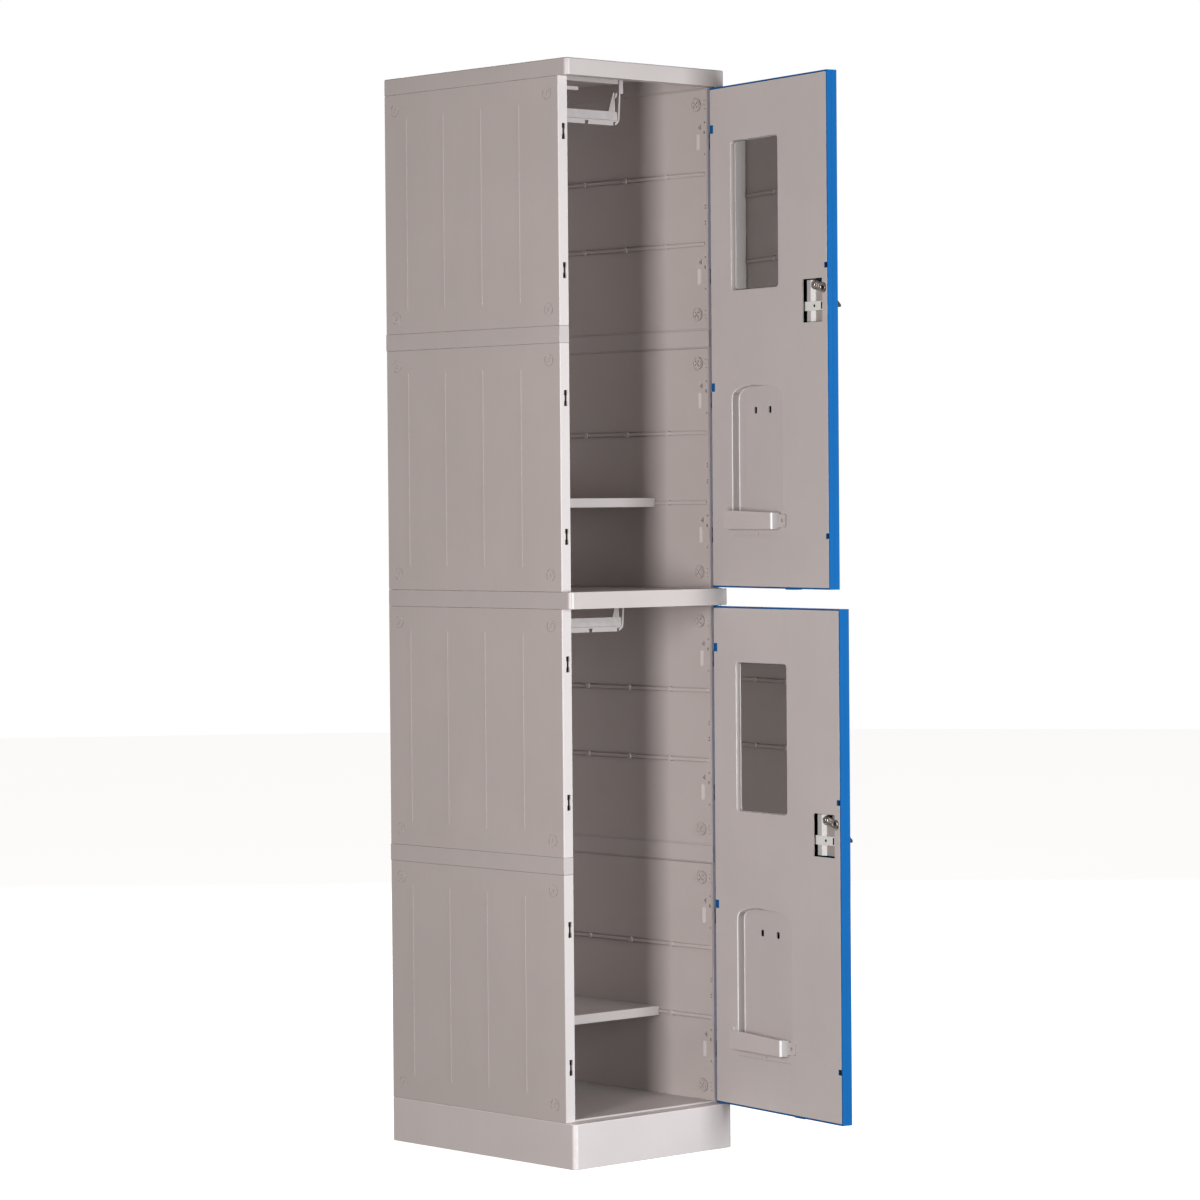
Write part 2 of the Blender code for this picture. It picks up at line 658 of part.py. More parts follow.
def door_liner(level, pivot):
    """The inner skin with a stiffening rim, and its recesses for mirror, umbrella and lock."""
    name = f"{level}_door_liner"
    face = HALF_DOOR
    back = face - LINER_SKIN
    edge = SHELL_SKIN + GAP
    low = (-DOOR_REACH + edge, back, edge)
    high = (0.003, face, DOOR_HEIGHT - edge)
    liner = block(name, low, high, GREY_PLASTIC, pivot)
    outer = ((-DOOR_REACH + 0.0065, 0.008), (-HINGE_BAR - 0.003, DOOR_HEIGHT - 0.008))
    ring = []
    for inset in (0.0, SKIN):
        (left, bottom), (right, top) = outer
        ring.append(round_rectangle(left + inset, bottom + inset, right - inset, top - inset, 0.003, 1))
    join(liner, outlined(f"{name}_rim", ring, "XZ", -0.004, back + 0.001, None, pivot))
    middle_x = -MIRROR_FROM_HINGE
    middle_z = DOOR_HEIGHT - MIRROR_FROM_TOP
    half_w = MIRROR_WIDTH / 2 + MIRROR_GAP
    half_h = MIRROR_HEIGHT / 2 + MIRROR_GAP
    floor = face - MIRROR_SUNK - MIRROR_THICKNESS - GAP
    wall = 0.002
    low = (middle_x - half_w - wall, floor - wall, middle_z - half_h - wall)
    high = (middle_x + half_w + wall, back + 0.001, middle_z + half_h + wall)
    join(liner, block(f"{name}_mirror_seat", low, high, None, pivot))
    join(liner, pocket(f"{name}_pocket_wall", 0.002, back + 0.001, pivot))
    window = round_rectangle(
        middle_x - half_w, middle_z - half_h, middle_x + half_w, middle_z + half_h, MIRROR_RADIUS
    )
    cut(liner, outlined(f"{name}_mirror_recess", [window], "XZ", floor, 0.02, None, pivot))
    cut(liner, pocket(f"{name}_pocket", 0.0, 0.02, pivot))
    low = (-CUTOUT_RIGHT, -0.005, DOOR_HEIGHT - CUTOUT_BOTTOM)
    high = (-CUTOUT_LEFT, 0.02, DOOR_HEIGHT - CUTOUT_TOP)
    cut(liner, block(f"{name}_lock_window", low, high, None, pivot))
    centre = (-LOBE_FROM_HINGE, 0.0075, DOOR_HEIGHT - LOBE_FROM_TOP)
    cut(liner, rod(f"{name}_lock_lobe", centre, LOBE_RADIUS, 0.025, "Y", None, pivot))
    for drop in FREE_TABS:
        z = DOOR_HEIGHT - drop
        low = (-DOOR_REACH - 0.01, -0.01, z - FREE_TAB_HALF - TAB_CLEAR)
        high = (-DOOR_REACH + SHELL_SKIN + 0.0085 + TAB_CLEAR, 0.02, z + FREE_TAB_HALF + TAB_CLEAR)
        notch = block(f"{name}_free_notch_{round(drop * 1000)}", low, high, None, pivot)
        cut(liner, notch)
    for drop in HINGE_TABS:
        z = DOOR_HEIGHT - drop
        low = (-0.0075 - TAB_CLEAR, 0.0, z - HINGE_TAB_HALF - TAB_CLEAR)
        high = (0.01, 0.02, z + HINGE_TAB_HALF + TAB_CLEAR)
        notch = block(f"{name}_hinge_notch_{round(drop * 1000)}", low, high, None, pivot)
        cut(liner, notch)
    half_w, half_h = SLIT_WIDTH / 2, SLIT_HEIGHT / 2
    for label, across in (("left", SLITS_FROM_HINGE[0]), ("right", SLITS_FROM_HINGE[1])):
        z = DOOR_HEIGHT - SLITS_FROM_TOP
        window = round_rectangle(-across - half_w, z - half_h, -across + half_w, z + half_h, 0.0026, 4)
        cut(liner, outlined(f"{name}_{label}_slit", [window], "XZ", -0.02, 0.02, None, pivot))


def mirror(level, pivot):
    half_w, half_h = MIRROR_WIDTH / 2, MIRROR_HEIGHT / 2
    x, z = -MIRROR_FROM_HINGE, DOOR_HEIGHT - MIRROR_FROM_TOP
    radius = MIRROR_RADIUS - MIRROR_GAP
    outline = round_rectangle(x - half_w, z - half_h, x + half_w, z + half_h, radius)
    high = HALF_DOOR - MIRROR_SUNK
    outlined(f"{level}_door_mirror", [outline], "XZ", high - MIRROR_THICKNESS, high, MIRROR_GLASS, pivot)


def umbrella_bar(level, pivot):
    """A strap across the pocket on a square leg and a splayed one, with a foot at each end."""
    face = HALF_DOOR + GAP
    out = HALF_DOOR + HOLDER_OUT
    wall = HOLDER_SKIN
    near, far = -HOLDER_LEFT, -HOLDER_RIGHT
    splayed = far - HOLDER_SPLAY
    outline = [
        (splayed - HOLDER_FAR_FOOT, face),
        (splayed + wall, face),
        (far + wall, out - wall),
        (near - wall, out - wall),
        (near - wall, face),
        (near + HOLDER_NEAR_FOOT, face),
        (near + HOLDER_NEAR_FOOT, face + wall),
        (near, face + wall),
        (near, out),
        (far, out),
        (splayed, face + wall),
        (splayed - HOLDER_FAR_FOOT, face + wall),
    ]
    top = DOOR_HEIGHT - HOLDER_TOP
    bar = outlined(f"{level}_umbrella_bar", [outline], "XY", top - HOLDER_HEIGHT, top, PALE_PLASTIC, pivot)
    bevel(bar, 0.0006, 1)


def lock_case(level, pivot):
    """A folded bracket behind the window: a flange, a leaning rib and a lower step."""
    name = f"{level}_lock_case"
    base = SHELL_SKIN - HALF_DOOR + GAP
    profile = [
        (-0.3475, base),
        (-0.2882, base),
        (-0.2882, 0.0),
        (-0.3010, 0.0),
        (-0.3016, 0.0015),
        (-0.3115, -0.0024),
        (-0.3117, -0.0044),
        (-0.3475, -0.0044),
    ]
    bottom, top = DOOR_HEIGHT - 0.431, DOOR_HEIGHT - 0.3585
    case = outlined(name, [profile], "XY", bottom, top, CHROME, pivot)
    centre = (-LOCK_FROM_HINGE, 0.0, DOOR_HEIGHT - LOCK_FROM_TOP)
    cut(case, rod(f"{name}_hole", centre, 0.0093, 0.06, "Y", None, pivot, 32))


def lock_clip(level, pivot):
    """A strap across the case. Its boxed end has a hole beside it and a slit in it."""
    name = f"{level}_lock_clip"
    z = DOOR_HEIGHT - 0.404
    half = 0.008
    clip = block(name, (-0.3425, 0.0018, z - half), (-0.2840, 0.0034, z + half), WHITE_PLASTIC, pivot)
    low = (-0.3420, -0.0040, z - half + 0.0004)
    join(clip, block(f"{name}_box", low, (-0.3205, 0.0045, z + half - 0.0004), None, pivot))
    hole = rod(f"{name}_hole", (-0.3165, 0.0035, z), 0.0024, 0.006, "Y", None, pivot, 16)
    slit = block(f"{name}_slit", (-0.3411, -0.001, z - 0.006), (-0.3378, 0.01, z + 0.006), None, pivot)
    cut(clip, hole, slit)


def door_pull(level, pivot):
    """An escutcheon on the outside, with a wedge to pull on below the keyhole."""
    name = f"{level}_door_pull"
    outside = -HALF_DOOR - GAP
    plate_top = DOOR_HEIGHT - 0.346
    plate_bottom = DOOR_HEIGHT - 0.440
    outline = round_rectangle(-0.3545, plate_bottom, -0.2985, plate_top, 0.006)
    pull = outlined(name, [outline], "XZ", outside - 0.003, outside, DARK_PLASTIC, pivot)
    tip = DOOR_HEIGHT - 0.404
    wedge = [
        (outside - 0.001, tip + 0.018),
        (outside - 0.003, tip + 0.018),
        (outside - 0.0180, tip + 0.0015),
        (outside - 0.0185, tip - 0.0015),
        (outside - 0.0170, tip - 0.0030),
        (outside - 0.001, tip - 0.0030),
    ]
    join(pull, outlined(f"{name}_wedge", [wedge], "YZ", -0.3500, -0.3100, None, pivot))
    centre = (-LOCK_FROM_HINGE, outside, DOOR_HEIGHT - LOCK_FROM_TOP)
    cut(pull, rod(f"{name}_hole", centre, 0.0093, 0.02, "Y", None, pivot, 32))


def lock_barrel(level, pivot):
    """A stepped barrel along the lock's axis, with a keyhole in its outer face."""
    name = f"{level}_lock_barrel"
    steps = [(0.0, 0.0108), (0.0044, 0.0108), (0.0044, 0.0046), (0.0087, 0.0046), (0.0087, -0.0148)]
    steps += [(0.0105, -0.0148), (0.0105, -0.0170), (0.0, -0.0170)]
    profile = bpy.data.meshes.new(name)
    points = [(radius, 0.0, along) for radius, along in steps]
    profile.from_pydata(points, [(i, i + 1) for i in range(len(points) - 1)], [])
    barrel = place(name, profile, CHROME, (0, 0, 0), pivot)
    barrel.location = (-LOCK_FROM_HINGE, 0.0, DOOR_HEIGHT - LOCK_FROM_TOP)
    barrel.rotation_euler = (-math.pi / 2, 0, 0)
    turned = barrel.modifiers.new("turned", "SCREW")
    turned.axis = "Z"
    turned.steps = 32
    turned.render_steps = 32
    turned.use_merge_vertices = True
    turned.merge_threshold = 0.00001
    x, z = barrel.location.x, barrel.location.z
    low = (x - 0.001, -0.03, z - 0.004)
    cut(barrel, block(f"{name}_keyhole", low, (x + 0.001, -0.0145, z + 0.004), None, pivot))


def lock_cam(level, pivot):
    """A flat lever on the barrel's neck, with a round end."""
    name = f"{level}_lock_cam"
    x, z = -LOCK_FROM_HINGE, DOOR_HEIGHT - LOCK_FROM_TOP
    heading = math.degrees(CAM_DROP) + 180
    along = (math.cos(math.radians(heading)), math.sin(math.radians(heading)))
    end = (x + CAM_REACH * along[0], z + CAM_REACH * along[1])
    outline = arc((x, z), 0.0085, heading + 70, heading + 290, 14)
    outline += arc(end, 0.0080, heading - 75, heading + 75, 12)
    hole = arc((x, z), 0.0048, 0, 345, 23)
    cam = outlined(name, [outline, hole], "XZ", CAM_LOW, CAM_HIGH, STEEL, pivot)
    eye = rod(f"{name}_eye", (end[0], 0.006, end[1]), 0.0038, 0.01, "Y", None, pivot)
    cut(cam, eye)


def lock_nut(level, pivot):
    """A hexagonal nut on the barrel's neck, over the cam."""
    x, z = -LOCK_FROM_HINGE, DOOR_HEIGHT - LOCK_FROM_TOP
    outline = arc((x, z), 0.0082, 0, 300, 5)
    hole = arc((x, z), 0.0048, 0, 345, 23)
    outlined(f"{level}_lock_nut", [outline, hole], "XZ", CAM_HIGH + GAP, 0.0105, CHROME, pivot)


def door(level, opening_base, opened):
    pivot = pivot_empty(level, opening_base, opened)
    door_shell(level, pivot)
    door_liner(level, pivot)
    mirror(level, pivot)
    umbrella_bar(level, pivot)
    lock_case(level, pivot)
    lock_clip(level, pivot)
    door_pull(level, pivot)
    lock_barrel(level, pivot)
    lock_cam(level, pivot)
    lock_nut(level, pivot)
    hinge_pin(f"{level}_hinge_pin_bottom", opening_base, upward=True)
    hinge_pin(f"{level}_hinge_pin_top", opening_base + 2 * DOOR_CLEAR + DOOR_HEIGHT, upward=False)


base_plinth()
floor_panel()
divider_panel()
top_panel()
walls()
shelf("lower", BOARD_BASES[0])
shelf("upper", BOARD_BASES[2])
hanger_rail("lower", DIVIDER_BASE + BAND_HEIGHT - PLATE, DIVIDER_BASE - 0.0215)
hanger_rail("upper", HEIGHT - PLATE, CAP_BASE - 0.039)
door("lower", BOARD_BASES[0], LOWER_OPEN)
door("upper", BOARD_BASES[2], UPPER_OPEN)
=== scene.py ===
import math

import bmesh
import bpy
from mathutils import Matrix, Vector

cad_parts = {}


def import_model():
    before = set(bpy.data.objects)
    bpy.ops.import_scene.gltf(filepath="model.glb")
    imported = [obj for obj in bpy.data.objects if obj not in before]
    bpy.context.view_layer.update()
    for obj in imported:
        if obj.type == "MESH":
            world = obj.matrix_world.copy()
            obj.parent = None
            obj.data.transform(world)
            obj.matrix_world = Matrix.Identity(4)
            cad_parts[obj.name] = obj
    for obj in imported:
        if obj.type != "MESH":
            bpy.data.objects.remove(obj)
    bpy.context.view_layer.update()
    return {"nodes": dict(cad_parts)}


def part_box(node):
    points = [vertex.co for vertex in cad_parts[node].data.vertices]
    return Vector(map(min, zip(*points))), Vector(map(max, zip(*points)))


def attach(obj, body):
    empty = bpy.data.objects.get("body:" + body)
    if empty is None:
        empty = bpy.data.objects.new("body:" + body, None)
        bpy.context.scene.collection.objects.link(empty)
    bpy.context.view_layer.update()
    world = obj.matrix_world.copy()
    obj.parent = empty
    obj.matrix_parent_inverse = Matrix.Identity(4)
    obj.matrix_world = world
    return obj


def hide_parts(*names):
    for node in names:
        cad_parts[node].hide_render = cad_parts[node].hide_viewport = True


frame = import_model()

# ---------------------------------------------------------------- dimensions, in metres

WIDTH = 0.382
DEPTH = 0.500
WALL = 0.022
LIP_DEPTH = 0.024
PLINTH_HEIGHT = 0.080
BAND_HEIGHT = 0.030
BOARD_HEIGHT = 0.435
PLATE = 0.004
PROUD = 0.0008
GAP = 0.0003
SKIN = 0.0025
HALF_WIDTH = WIDTH / 2
INNER = HALF_WIDTH - WALL
FRONT = -DEPTH / 2
BACK = DEPTH / 2
WALL_FRONT = FRONT + LIP_DEPTH
BACK_INNER = BACK - WALL
BOARD_BASES = [PLINTH_HEIGHT + index * (BOARD_HEIGHT + BAND_HEIGHT) for index in range(4)]
DIVIDER_BASE = BOARD_BASES[2] - BAND_HEIGHT
CAP_BASE = BOARD_BASES[3] + BOARD_HEIGHT
HEIGHT = CAP_BASE + BAND_HEIGHT
KNOB_RISE = 0.1885
KNOB_Y = (WALL_FRONT + 0.029, BACK - PROUD - 0.029)
SLOT_RISE = 0.121
SLOT_X = HALF_WIDTH - 0.0137
RAIL_RISE = 0.063

DOOR_HEIGHT = CAP_BASE - BOARD_BASES[2] - 0.004
DOOR_REACH = 0.369
HALF_DOOR = 0.011
HINGE = (HALF_WIDTH - 0.012, WALL_FRONT - 0.012)
DOORS = {
    "upper": (BOARD_BASES[2] + 0.002, math.radians(79.0)),
    "lower": (BOARD_BASES[0] + 0.002, math.radians(82.0)),
}


def door_matrix(level):
    """From the closed door's own frame, x = -distance from the hinge, to the open door's place."""
    base, opened = DOORS[level]
    return Matrix.Translation((*HINGE, base)) @ Matrix.Rotation(opened, 4, "Z")


# ---------------------------------------------------------------- shapes


LIFT = {
    "XY": lambda a, b, t: (a, b, t),
    "XZ": lambda a, b, t: (a, t, b),
    "YZ": lambda a, b, t: (t, a, b),
}


def prism(loop, plane, start, end):
    """A flat outline given thickness along the third axis, as points and faces."""
    count = len(loop)
    lift = LIFT[plane]
    points = [lift(a, b, start) for a, b in loop] + [lift(a, b, end) for a, b in loop]
    faces = [tuple(range(count)), tuple(range(count, 2 * count))]
    for i in range(count):
        j = (i + 1) % count
        faces.append((i, j, count + j, count + i))
    return points, faces


def box(low, high):
    """A block between two opposite corners."""
    loop = [(low[0], low[1]), (high[0], low[1]), (high[0], high[1]), (low[0], high[1])]
    return prism(loop, "XY", low[2], high[2])


def arc(centre, radius, start, end, steps):
    """Points along an arc, between two angles in degrees."""
    turns = (math.radians(start + (end - start) * step / steps) for step in range(steps + 1))
    return [(centre[0] + radius * math.cos(t), centre[1] + radius * math.sin(t)) for t in turns]


def disc(plane, centre, radius, start, end, steps=32):
    return prism(arc(centre, radius, 0, 360 - 360 / steps, steps - 1), plane, start, end)


def rounded(left, bottom, right, top, radii, steps=6):
    """A rectangle with its own radius at each corner: right bottom, right top, left top, left bottom."""
    a, b, c, d = radii if isinstance(radii, tuple) else (radii,) * 4
    return (
        arc((right - a, bottom + a), a, -90, 0, steps)
        + arc((right - b, top - b), b, 0, 90, steps)
        + arc((left + c, top - c), c, 90, 180, steps)
        + arc((left + d, bottom + d), d, 180, 270, steps)
    )


def ring_cutter(plane, centre, outer, inner, start, end, steps=32):
    """A tube, made of two half rings so that each is a simple outline."""
    made = []
    for first in (0, 180):
        out = arc(centre, outer, first, first + 180, steps // 2)
        back = arc(centre, inner, first + 180, first, steps // 2)
        made.append(prism(out + back, plane, start, end))
    return made


def shape_of(parts):
    """A bmesh of several closed parts, with their faces turned outwards."""
    shape = bmesh.new()
    for points, faces in parts:
        verts = [shape.verts.new(p) for p in points]
        for face in faces:
            shape.faces.new([verts[i] for i in face])
    bmesh.ops.recalc_face_normals(shape, faces=shape.faces)
    return shape


def linked(name, shape):
    """The bmesh as a new object in the scene. It frees the bmesh."""
    mesh = bpy.data.meshes.new(name)
    shape.to_mesh(mesh)
    shape.free()
    obj = bpy.data.objects.new(name, mesh)
    bpy.context.scene.collection.objects.link(obj)
    return obj


def helper(name, parts):
    """A new object made of closed parts."""
    return linked(name, shape_of(parts))


def add_boolean(obj, name, operation, other, overlapping=True):
    step = obj.modifiers.new(name, "BOOLEAN")
    step.operation = operation
    step.solver = "EXACT"
    step.use_self = overlapping
    step.object = other


def carve(obj, steps):
    """Booleans, each a word and a list of closed parts, then their result as the object's mesh."""
    others = []
    for index, (operation, parts) in enumerate(steps):
        other = helper(f"{obj.name}_tool_{index}", parts)
        others.append(other)
        add_boolean(obj, f"step_{index}", operation, other)
    graph = bpy.context.evaluated_depsgraph_get()
    result = bpy.data.meshes.new_from_object(obj.evaluated_get(graph))
    old = obj.data
    obj.modifiers.clear()
    obj.data = result
    result.name = obj.name
    bpy.data.meshes.remove(old)
    for other in others:
        mesh = other.data
        bpy.data.objects.remove(other, do_unlink=True)
        bpy.data.meshes.remove(mesh)
    return obj


def cad_copy(node, name):
    """A copy of a CAD node's mesh with its flat faces whole, to be detailed."""
    shape = bmesh.new()
    shape.from_mesh(frame["nodes"][node].data)
    bmesh.ops.remove_doubles(shape, verts=shape.verts, dist=1e-6)
    bmesh.ops.dissolve_limit(shape, angle_limit=math.radians(0.3), verts=shape.verts, edges=shape.edges)
    bmesh.ops.recalc_face_normals(shape, faces=shape.faces)
    return linked(name, shape)


def soften(obj, width, segments=2, pick=None, angle=35, clamp=True):
    """Rounds the edges sharper than an angle that pick accepts, given their two ends."""
    shape = bmesh.new()
    shape.from_mesh(obj.data)
    limit = math.radians(angle)
    chosen = []
    for edge in shape.edges:
        if len(edge.link_faces) != 2 or edge.calc_face_angle(0.0) < limit:
            continue
        if pick is None or pick(*(v.co for v in edge.verts)):
            chosen.append(edge)
    if chosen:
        bmesh.ops.bevel(
            shape, geom=chosen, offset=width, segments=segments, profile=0.5, affect="EDGES",
            clamp_overlap=clamp)
    shape.to_mesh(obj.data)
    shape.free()
    return obj


SQUARE = 0.985  # the cosine of the lean past which a face takes the edge finish


def leaning(face):
    """1, for the edge finish, on a face that leans away from all three axes' planes. 0 on others."""
    return int(max(abs(part) for part in face.normal) < SQUARE)


def settle(obj, body, finish, nodes=(), matrix=None, sharp=38, finish_of=None):
    """Gives a finished mesh its materials and smooth normals, puts it on its body and hides the CAD nodes it
    stands for.

    finish holds the face material, the edge material and any others, which finish_of may ask for.
    """
    obj.data.materials.clear()
    for material in finish:
        obj.data.materials.append(material)
    for face in obj.data.polygons:
        own = finish_of(face) if finish_of else None
        face.material_index = finish.index(own) if own else leaning(face)
    if matrix is not None:
        obj.data.transform(matrix)
    obj.data.shade_smooth()
    obj.data.set_sharp_from_angle(angle=math.radians(sharp))
    normals = obj.modifiers.new("normals", "WEIGHTED_NORMAL")
    normals.keep_sharp = True
    normals.weight = 80
    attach(obj, body)
    if nodes:
        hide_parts(*nodes)
    return obj


# ---------------------------------------------------------------- materials


class Tree:
    """Short ways to add nodes to one material."""

    def __init__(self, name):
        self.material = bpy.data.materials.new(name)
        self.material.use_nodes = True
        self.nodes = self.material.node_tree.nodes
        self.links = self.material.node_tree.links
        self.shader = self.nodes["Principled BSDF"]
        self.place = self.nodes.new("ShaderNodeTexCoord").outputs["Object"]

    def set(self, **values):
        for key, value in values.items():
            self.shader.inputs[key.replace("_", " ")].default_value = value

    def stretched(self, scale):
        node = self.nodes.new("ShaderNodeMapping")
        node.inputs["Scale"].default_value = scale
        self.links.new(self.place, node.inputs["Vector"])
        return node.outputs["Vector"]

    def noise(self, scale, detail=3.0, roughness=0.55, place=None, distortion=0.0):
        node = self.nodes.new("ShaderNodeTexNoise")
        node.inputs["Scale"].default_value = scale
        node.inputs["Detail"].default_value = detail
        node.inputs["Roughness"].default_value = roughness
        node.inputs["Distortion"].default_value = distortion
        self.links.new(place or self.place, node.inputs["Vector"])
        return node.outputs["Fac"]

    def spread(self, value, low, high, from_low=0.3, from_high=0.7):
        node = self.nodes.new("ShaderNodeMapRange")
        node.inputs["From Min"].default_value = from_low
        node.inputs["From Max"].default_value = from_high
        node.inputs["To Min"].default_value = low
        node.inputs["To Max"].default_value = high
        self.links.new(value, node.inputs["Value"])
        return node.outputs["Result"]

    def total(self, first, second):
        node = self.nodes.new("ShaderNodeMath")
        node.operation = "ADD"
        for socket, value in zip(node.inputs, (first, second)):
            self.links.new(value, socket)
        return node.outputs["Value"]

    def mix(self, first, second, mode="MIX"):
        """A Mix node and its colour, from two colours that are each a socket or three numbers."""
        node = self.nodes.new("ShaderNodeMix")
        node.data_type = "RGBA"
        node.blend_type = mode
        for name, value in (("A", first), ("B", second)):
            # The colour sockets share their names with the number and vector ones.
            socket = next(s for s in node.inputs if s.name == name and s.type == "RGBA")
            if isinstance(value, tuple):
                socket.default_value = (*value, 1.0)
            else:
                self.links.new(value, socket)
        return node, next(s for s in node.outputs if s.type == "RGBA")

    def tint(self, colour, factor):
        """The colour times a varying factor."""
        grey = self.nodes.new("ShaderNodeCombineColor")
        for channel in ("Red", "Green", "Blue"):
            self.links.new(factor, grey.inputs[channel])
        node, made = self.mix(colour, grey.outputs["Color"], "MULTIPLY")
        node.inputs["Factor"].default_value = 1.0
        return made

    def blend(self, factor, first, second):
        """From the first colour to the second as the factor grows."""
        node, made = self.mix(first, second)
        self.links.new(factor, node.inputs["Factor"])
        return made

    def bump(self, height, distance, strength=1.0, under=None):
        node = self.nodes.new("ShaderNodeBump")
        node.inputs["Distance"].default_value = distance
        node.inputs["Strength"].default_value = strength
        self.links.new(height, node.inputs["Height"])
        if under is not None:
            self.links.new(under, node.inputs["Normal"])
        return node.outputs["Normal"]

    def into(self, name, value):
        self.links.new(value, self.shader.inputs[name])


def plastic(name, colour, roughness, mottle=0.022, worn=0.0, specular=0.5, grain=0.00003):
    """Moulded plastic: cloudy tone, fine grain, slight flow marks and scuffs that lift the colour."""
    tree = Tree(name)
    cloudy = tree.noise(7.0, 5.0, 0.6)
    flow = tree.noise(3.0, 4.0, 0.6, place=tree.stretched((9.0, 9.0, 0.7)), distortion=0.6)
    speck = tree.noise(900.0, 2.0, 0.6)
    tone = tree.total(tree.spread(cloudy, 1 - mottle, 1 + mottle), tree.spread(flow, -0.006, 0.006))
    tone = tree.total(tone, tree.spread(speck, -0.012, 0.012))
    body = tree.tint(colour, tone)
    scuffs = tree.noise(34.0, 6.0, 0.72, distortion=1.1)
    if worn:
        mask = tree.spread(scuffs, 0.0, worn, 0.42, 0.62)
        light = tuple(min(1.0, c * 1.25 + 0.02) for c in colour)
        body = tree.blend(mask, body, light)
    tree.into("Base Color", body)
    smear = tree.noise(14.0, 5.0, 0.65, distortion=0.8)
    tree.into("Roughness", tree.total(
        tree.spread(smear, roughness - 0.05, roughness + 0.06), tree.spread(scuffs, -0.02, 0.05)))
    wavy = tree.bump(tree.noise(26.0, 2.0, 0.5), 0.00025, 0.25)
    tree.into("Normal", tree.bump(tree.noise(1100.0, 3.0, 0.6), grain, 0.55, under=wavy))
    tree.set(Specular_IOR_Level=specular, IOR=1.49)
    return tree.material


def metal(name, colour, roughness, brushed=(1.0, 1.0, 1.0), scratch=0.06):
    """Plated or bare metal: fine scratches along one way and dull patches."""
    tree = Tree(name)
    lines = tree.noise(420.0, 4.0, 0.7, place=tree.stretched(brushed))
    dull = tree.noise(90.0, 4.0, 0.6, distortion=0.7)
    tree.into("Base Color", tree.tint(colour, tree.spread(dull, 0.88, 1.05)))
    tree.into("Roughness", tree.total(
        tree.spread(lines, roughness, roughness + scratch), tree.spread(dull, -0.02, 0.06)))
    tree.into("Normal", tree.bump(lines, 0.00002, 0.5))
    tree.set(Metallic=1.0)
    return tree.material


MIRROR_TOE_IN = math.radians(3.7)


def mirror_glass(name):
    """Silvered glass with a faint wipe mark, which reflects as if it sat a little askew in its window."""
    tree = Tree(name)
    wiped = tree.noise(11.0, 5.0, 0.65, place=tree.stretched((1.0, 1.0, 0.35)), distortion=1.2)
    tree.into("Base Color", tree.tint((0.90, 0.925, 0.91), tree.spread(wiped, 0.96, 1.0)))
    tree.into("Roughness", tree.spread(wiped, 0.008, 0.035, 0.45, 0.75))
    facing = tree.nodes.new("ShaderNodeNewGeometry").outputs["Normal"]
    turn = tree.nodes.new("ShaderNodeVectorRotate")
    turn.rotation_type = "Z_AXIS"
    turn.inputs["Angle"].default_value = MIRROR_TOE_IN
    tree.links.new(facing, turn.inputs["Vector"])
    tree.into("Normal", turn.outputs["Vector"])
    tree.set(Metallic=1.0)
    return tree.material


GREY_TONE = (0.500, 0.438, 0.420)
PALE_TONE = (0.500, 0.440, 0.424)
GREY = plastic("grey_plastic", GREY_TONE, 0.40)
GREY_EDGE = plastic("grey_plastic_edge", GREY_TONE, 0.33, worn=0.35)
PALE = plastic("pale_plastic", PALE_TONE, 0.38)
PALE_EDGE = plastic("pale_plastic_edge", PALE_TONE, 0.32, worn=0.4)
LINER = plastic("liner_plastic", (0.572, 0.512, 0.500), 0.40)
# The liner's edge finish is lighter than the liner: partly worn scuffs, partly a painted highlight along its
# rounded edges.
LINER_EDGE_WEAR_AND_PAINTED_HIGHLIGHT = plastic("liner_plastic_edge", (0.640, 0.580, 0.566), 0.22, worn=0.4, specular=0.8)
# A darker copy of the liner plastic: painted shade, on the umbrella pocket's hinge-side wall and the
# umbrella bar's end face.
LINER_PAINTED_SHADE = plastic("liner_plastic_painted_shade", (0.435, 0.405, 0.398), 0.46)
# A near white copy of the liner plastic: a painted highlight, on the pocket's rounded edges and the umbrella
# bar's end corner.
LINER_PAINTED_HIGHLIGHT = plastic("liner_plastic_painted_highlight", (0.820, 0.790, 0.775), 0.30, worn=0.2)
# A lighter tone for the raised patches by the slots.
PATCH = plastic("patch_plastic", (0.66, 0.60, 0.57), 0.42)
BLUE = plastic("blue_plastic", (0.009, 0.108, 0.322), 0.58, mottle=0.04, specular=0.015)
BLUE_EDGE = plastic("blue_plastic_edge", (0.014, 0.122, 0.345), 0.46, worn=0.2, specular=0.05)
WHITE = plastic("white_plastic", (0.80, 0.79, 0.76), 0.34)
WHITE_EDGE = plastic("white_plastic_edge", (0.84, 0.83, 0.80), 0.30, worn=0.2)
# Dark plastic of the pull. The same dark is painted shade inside the lock clip's hole and slit.
DARK_PLASTIC_AND_PAINTED_SHADE = plastic("dark_plastic", (0.030, 0.033, 0.036), 0.42, mottle=0.15)
DARK_EDGE = plastic("dark_plastic_edge", (0.045, 0.048, 0.052), 0.36, worn=0.5)
GLASS = mirror_glass("mirror_glass")
# Near black for the mirror's rounded edges: partly the glass's dark edge, partly painted shade of the gap
# round the glass.
GLASS_EDGE = plastic("mirror_edge", (0.05, 0.07, 0.065), 0.2)
SATIN = plastic("satin_case", (0.56, 0.525, 0.510), 0.34, specular=0.7)
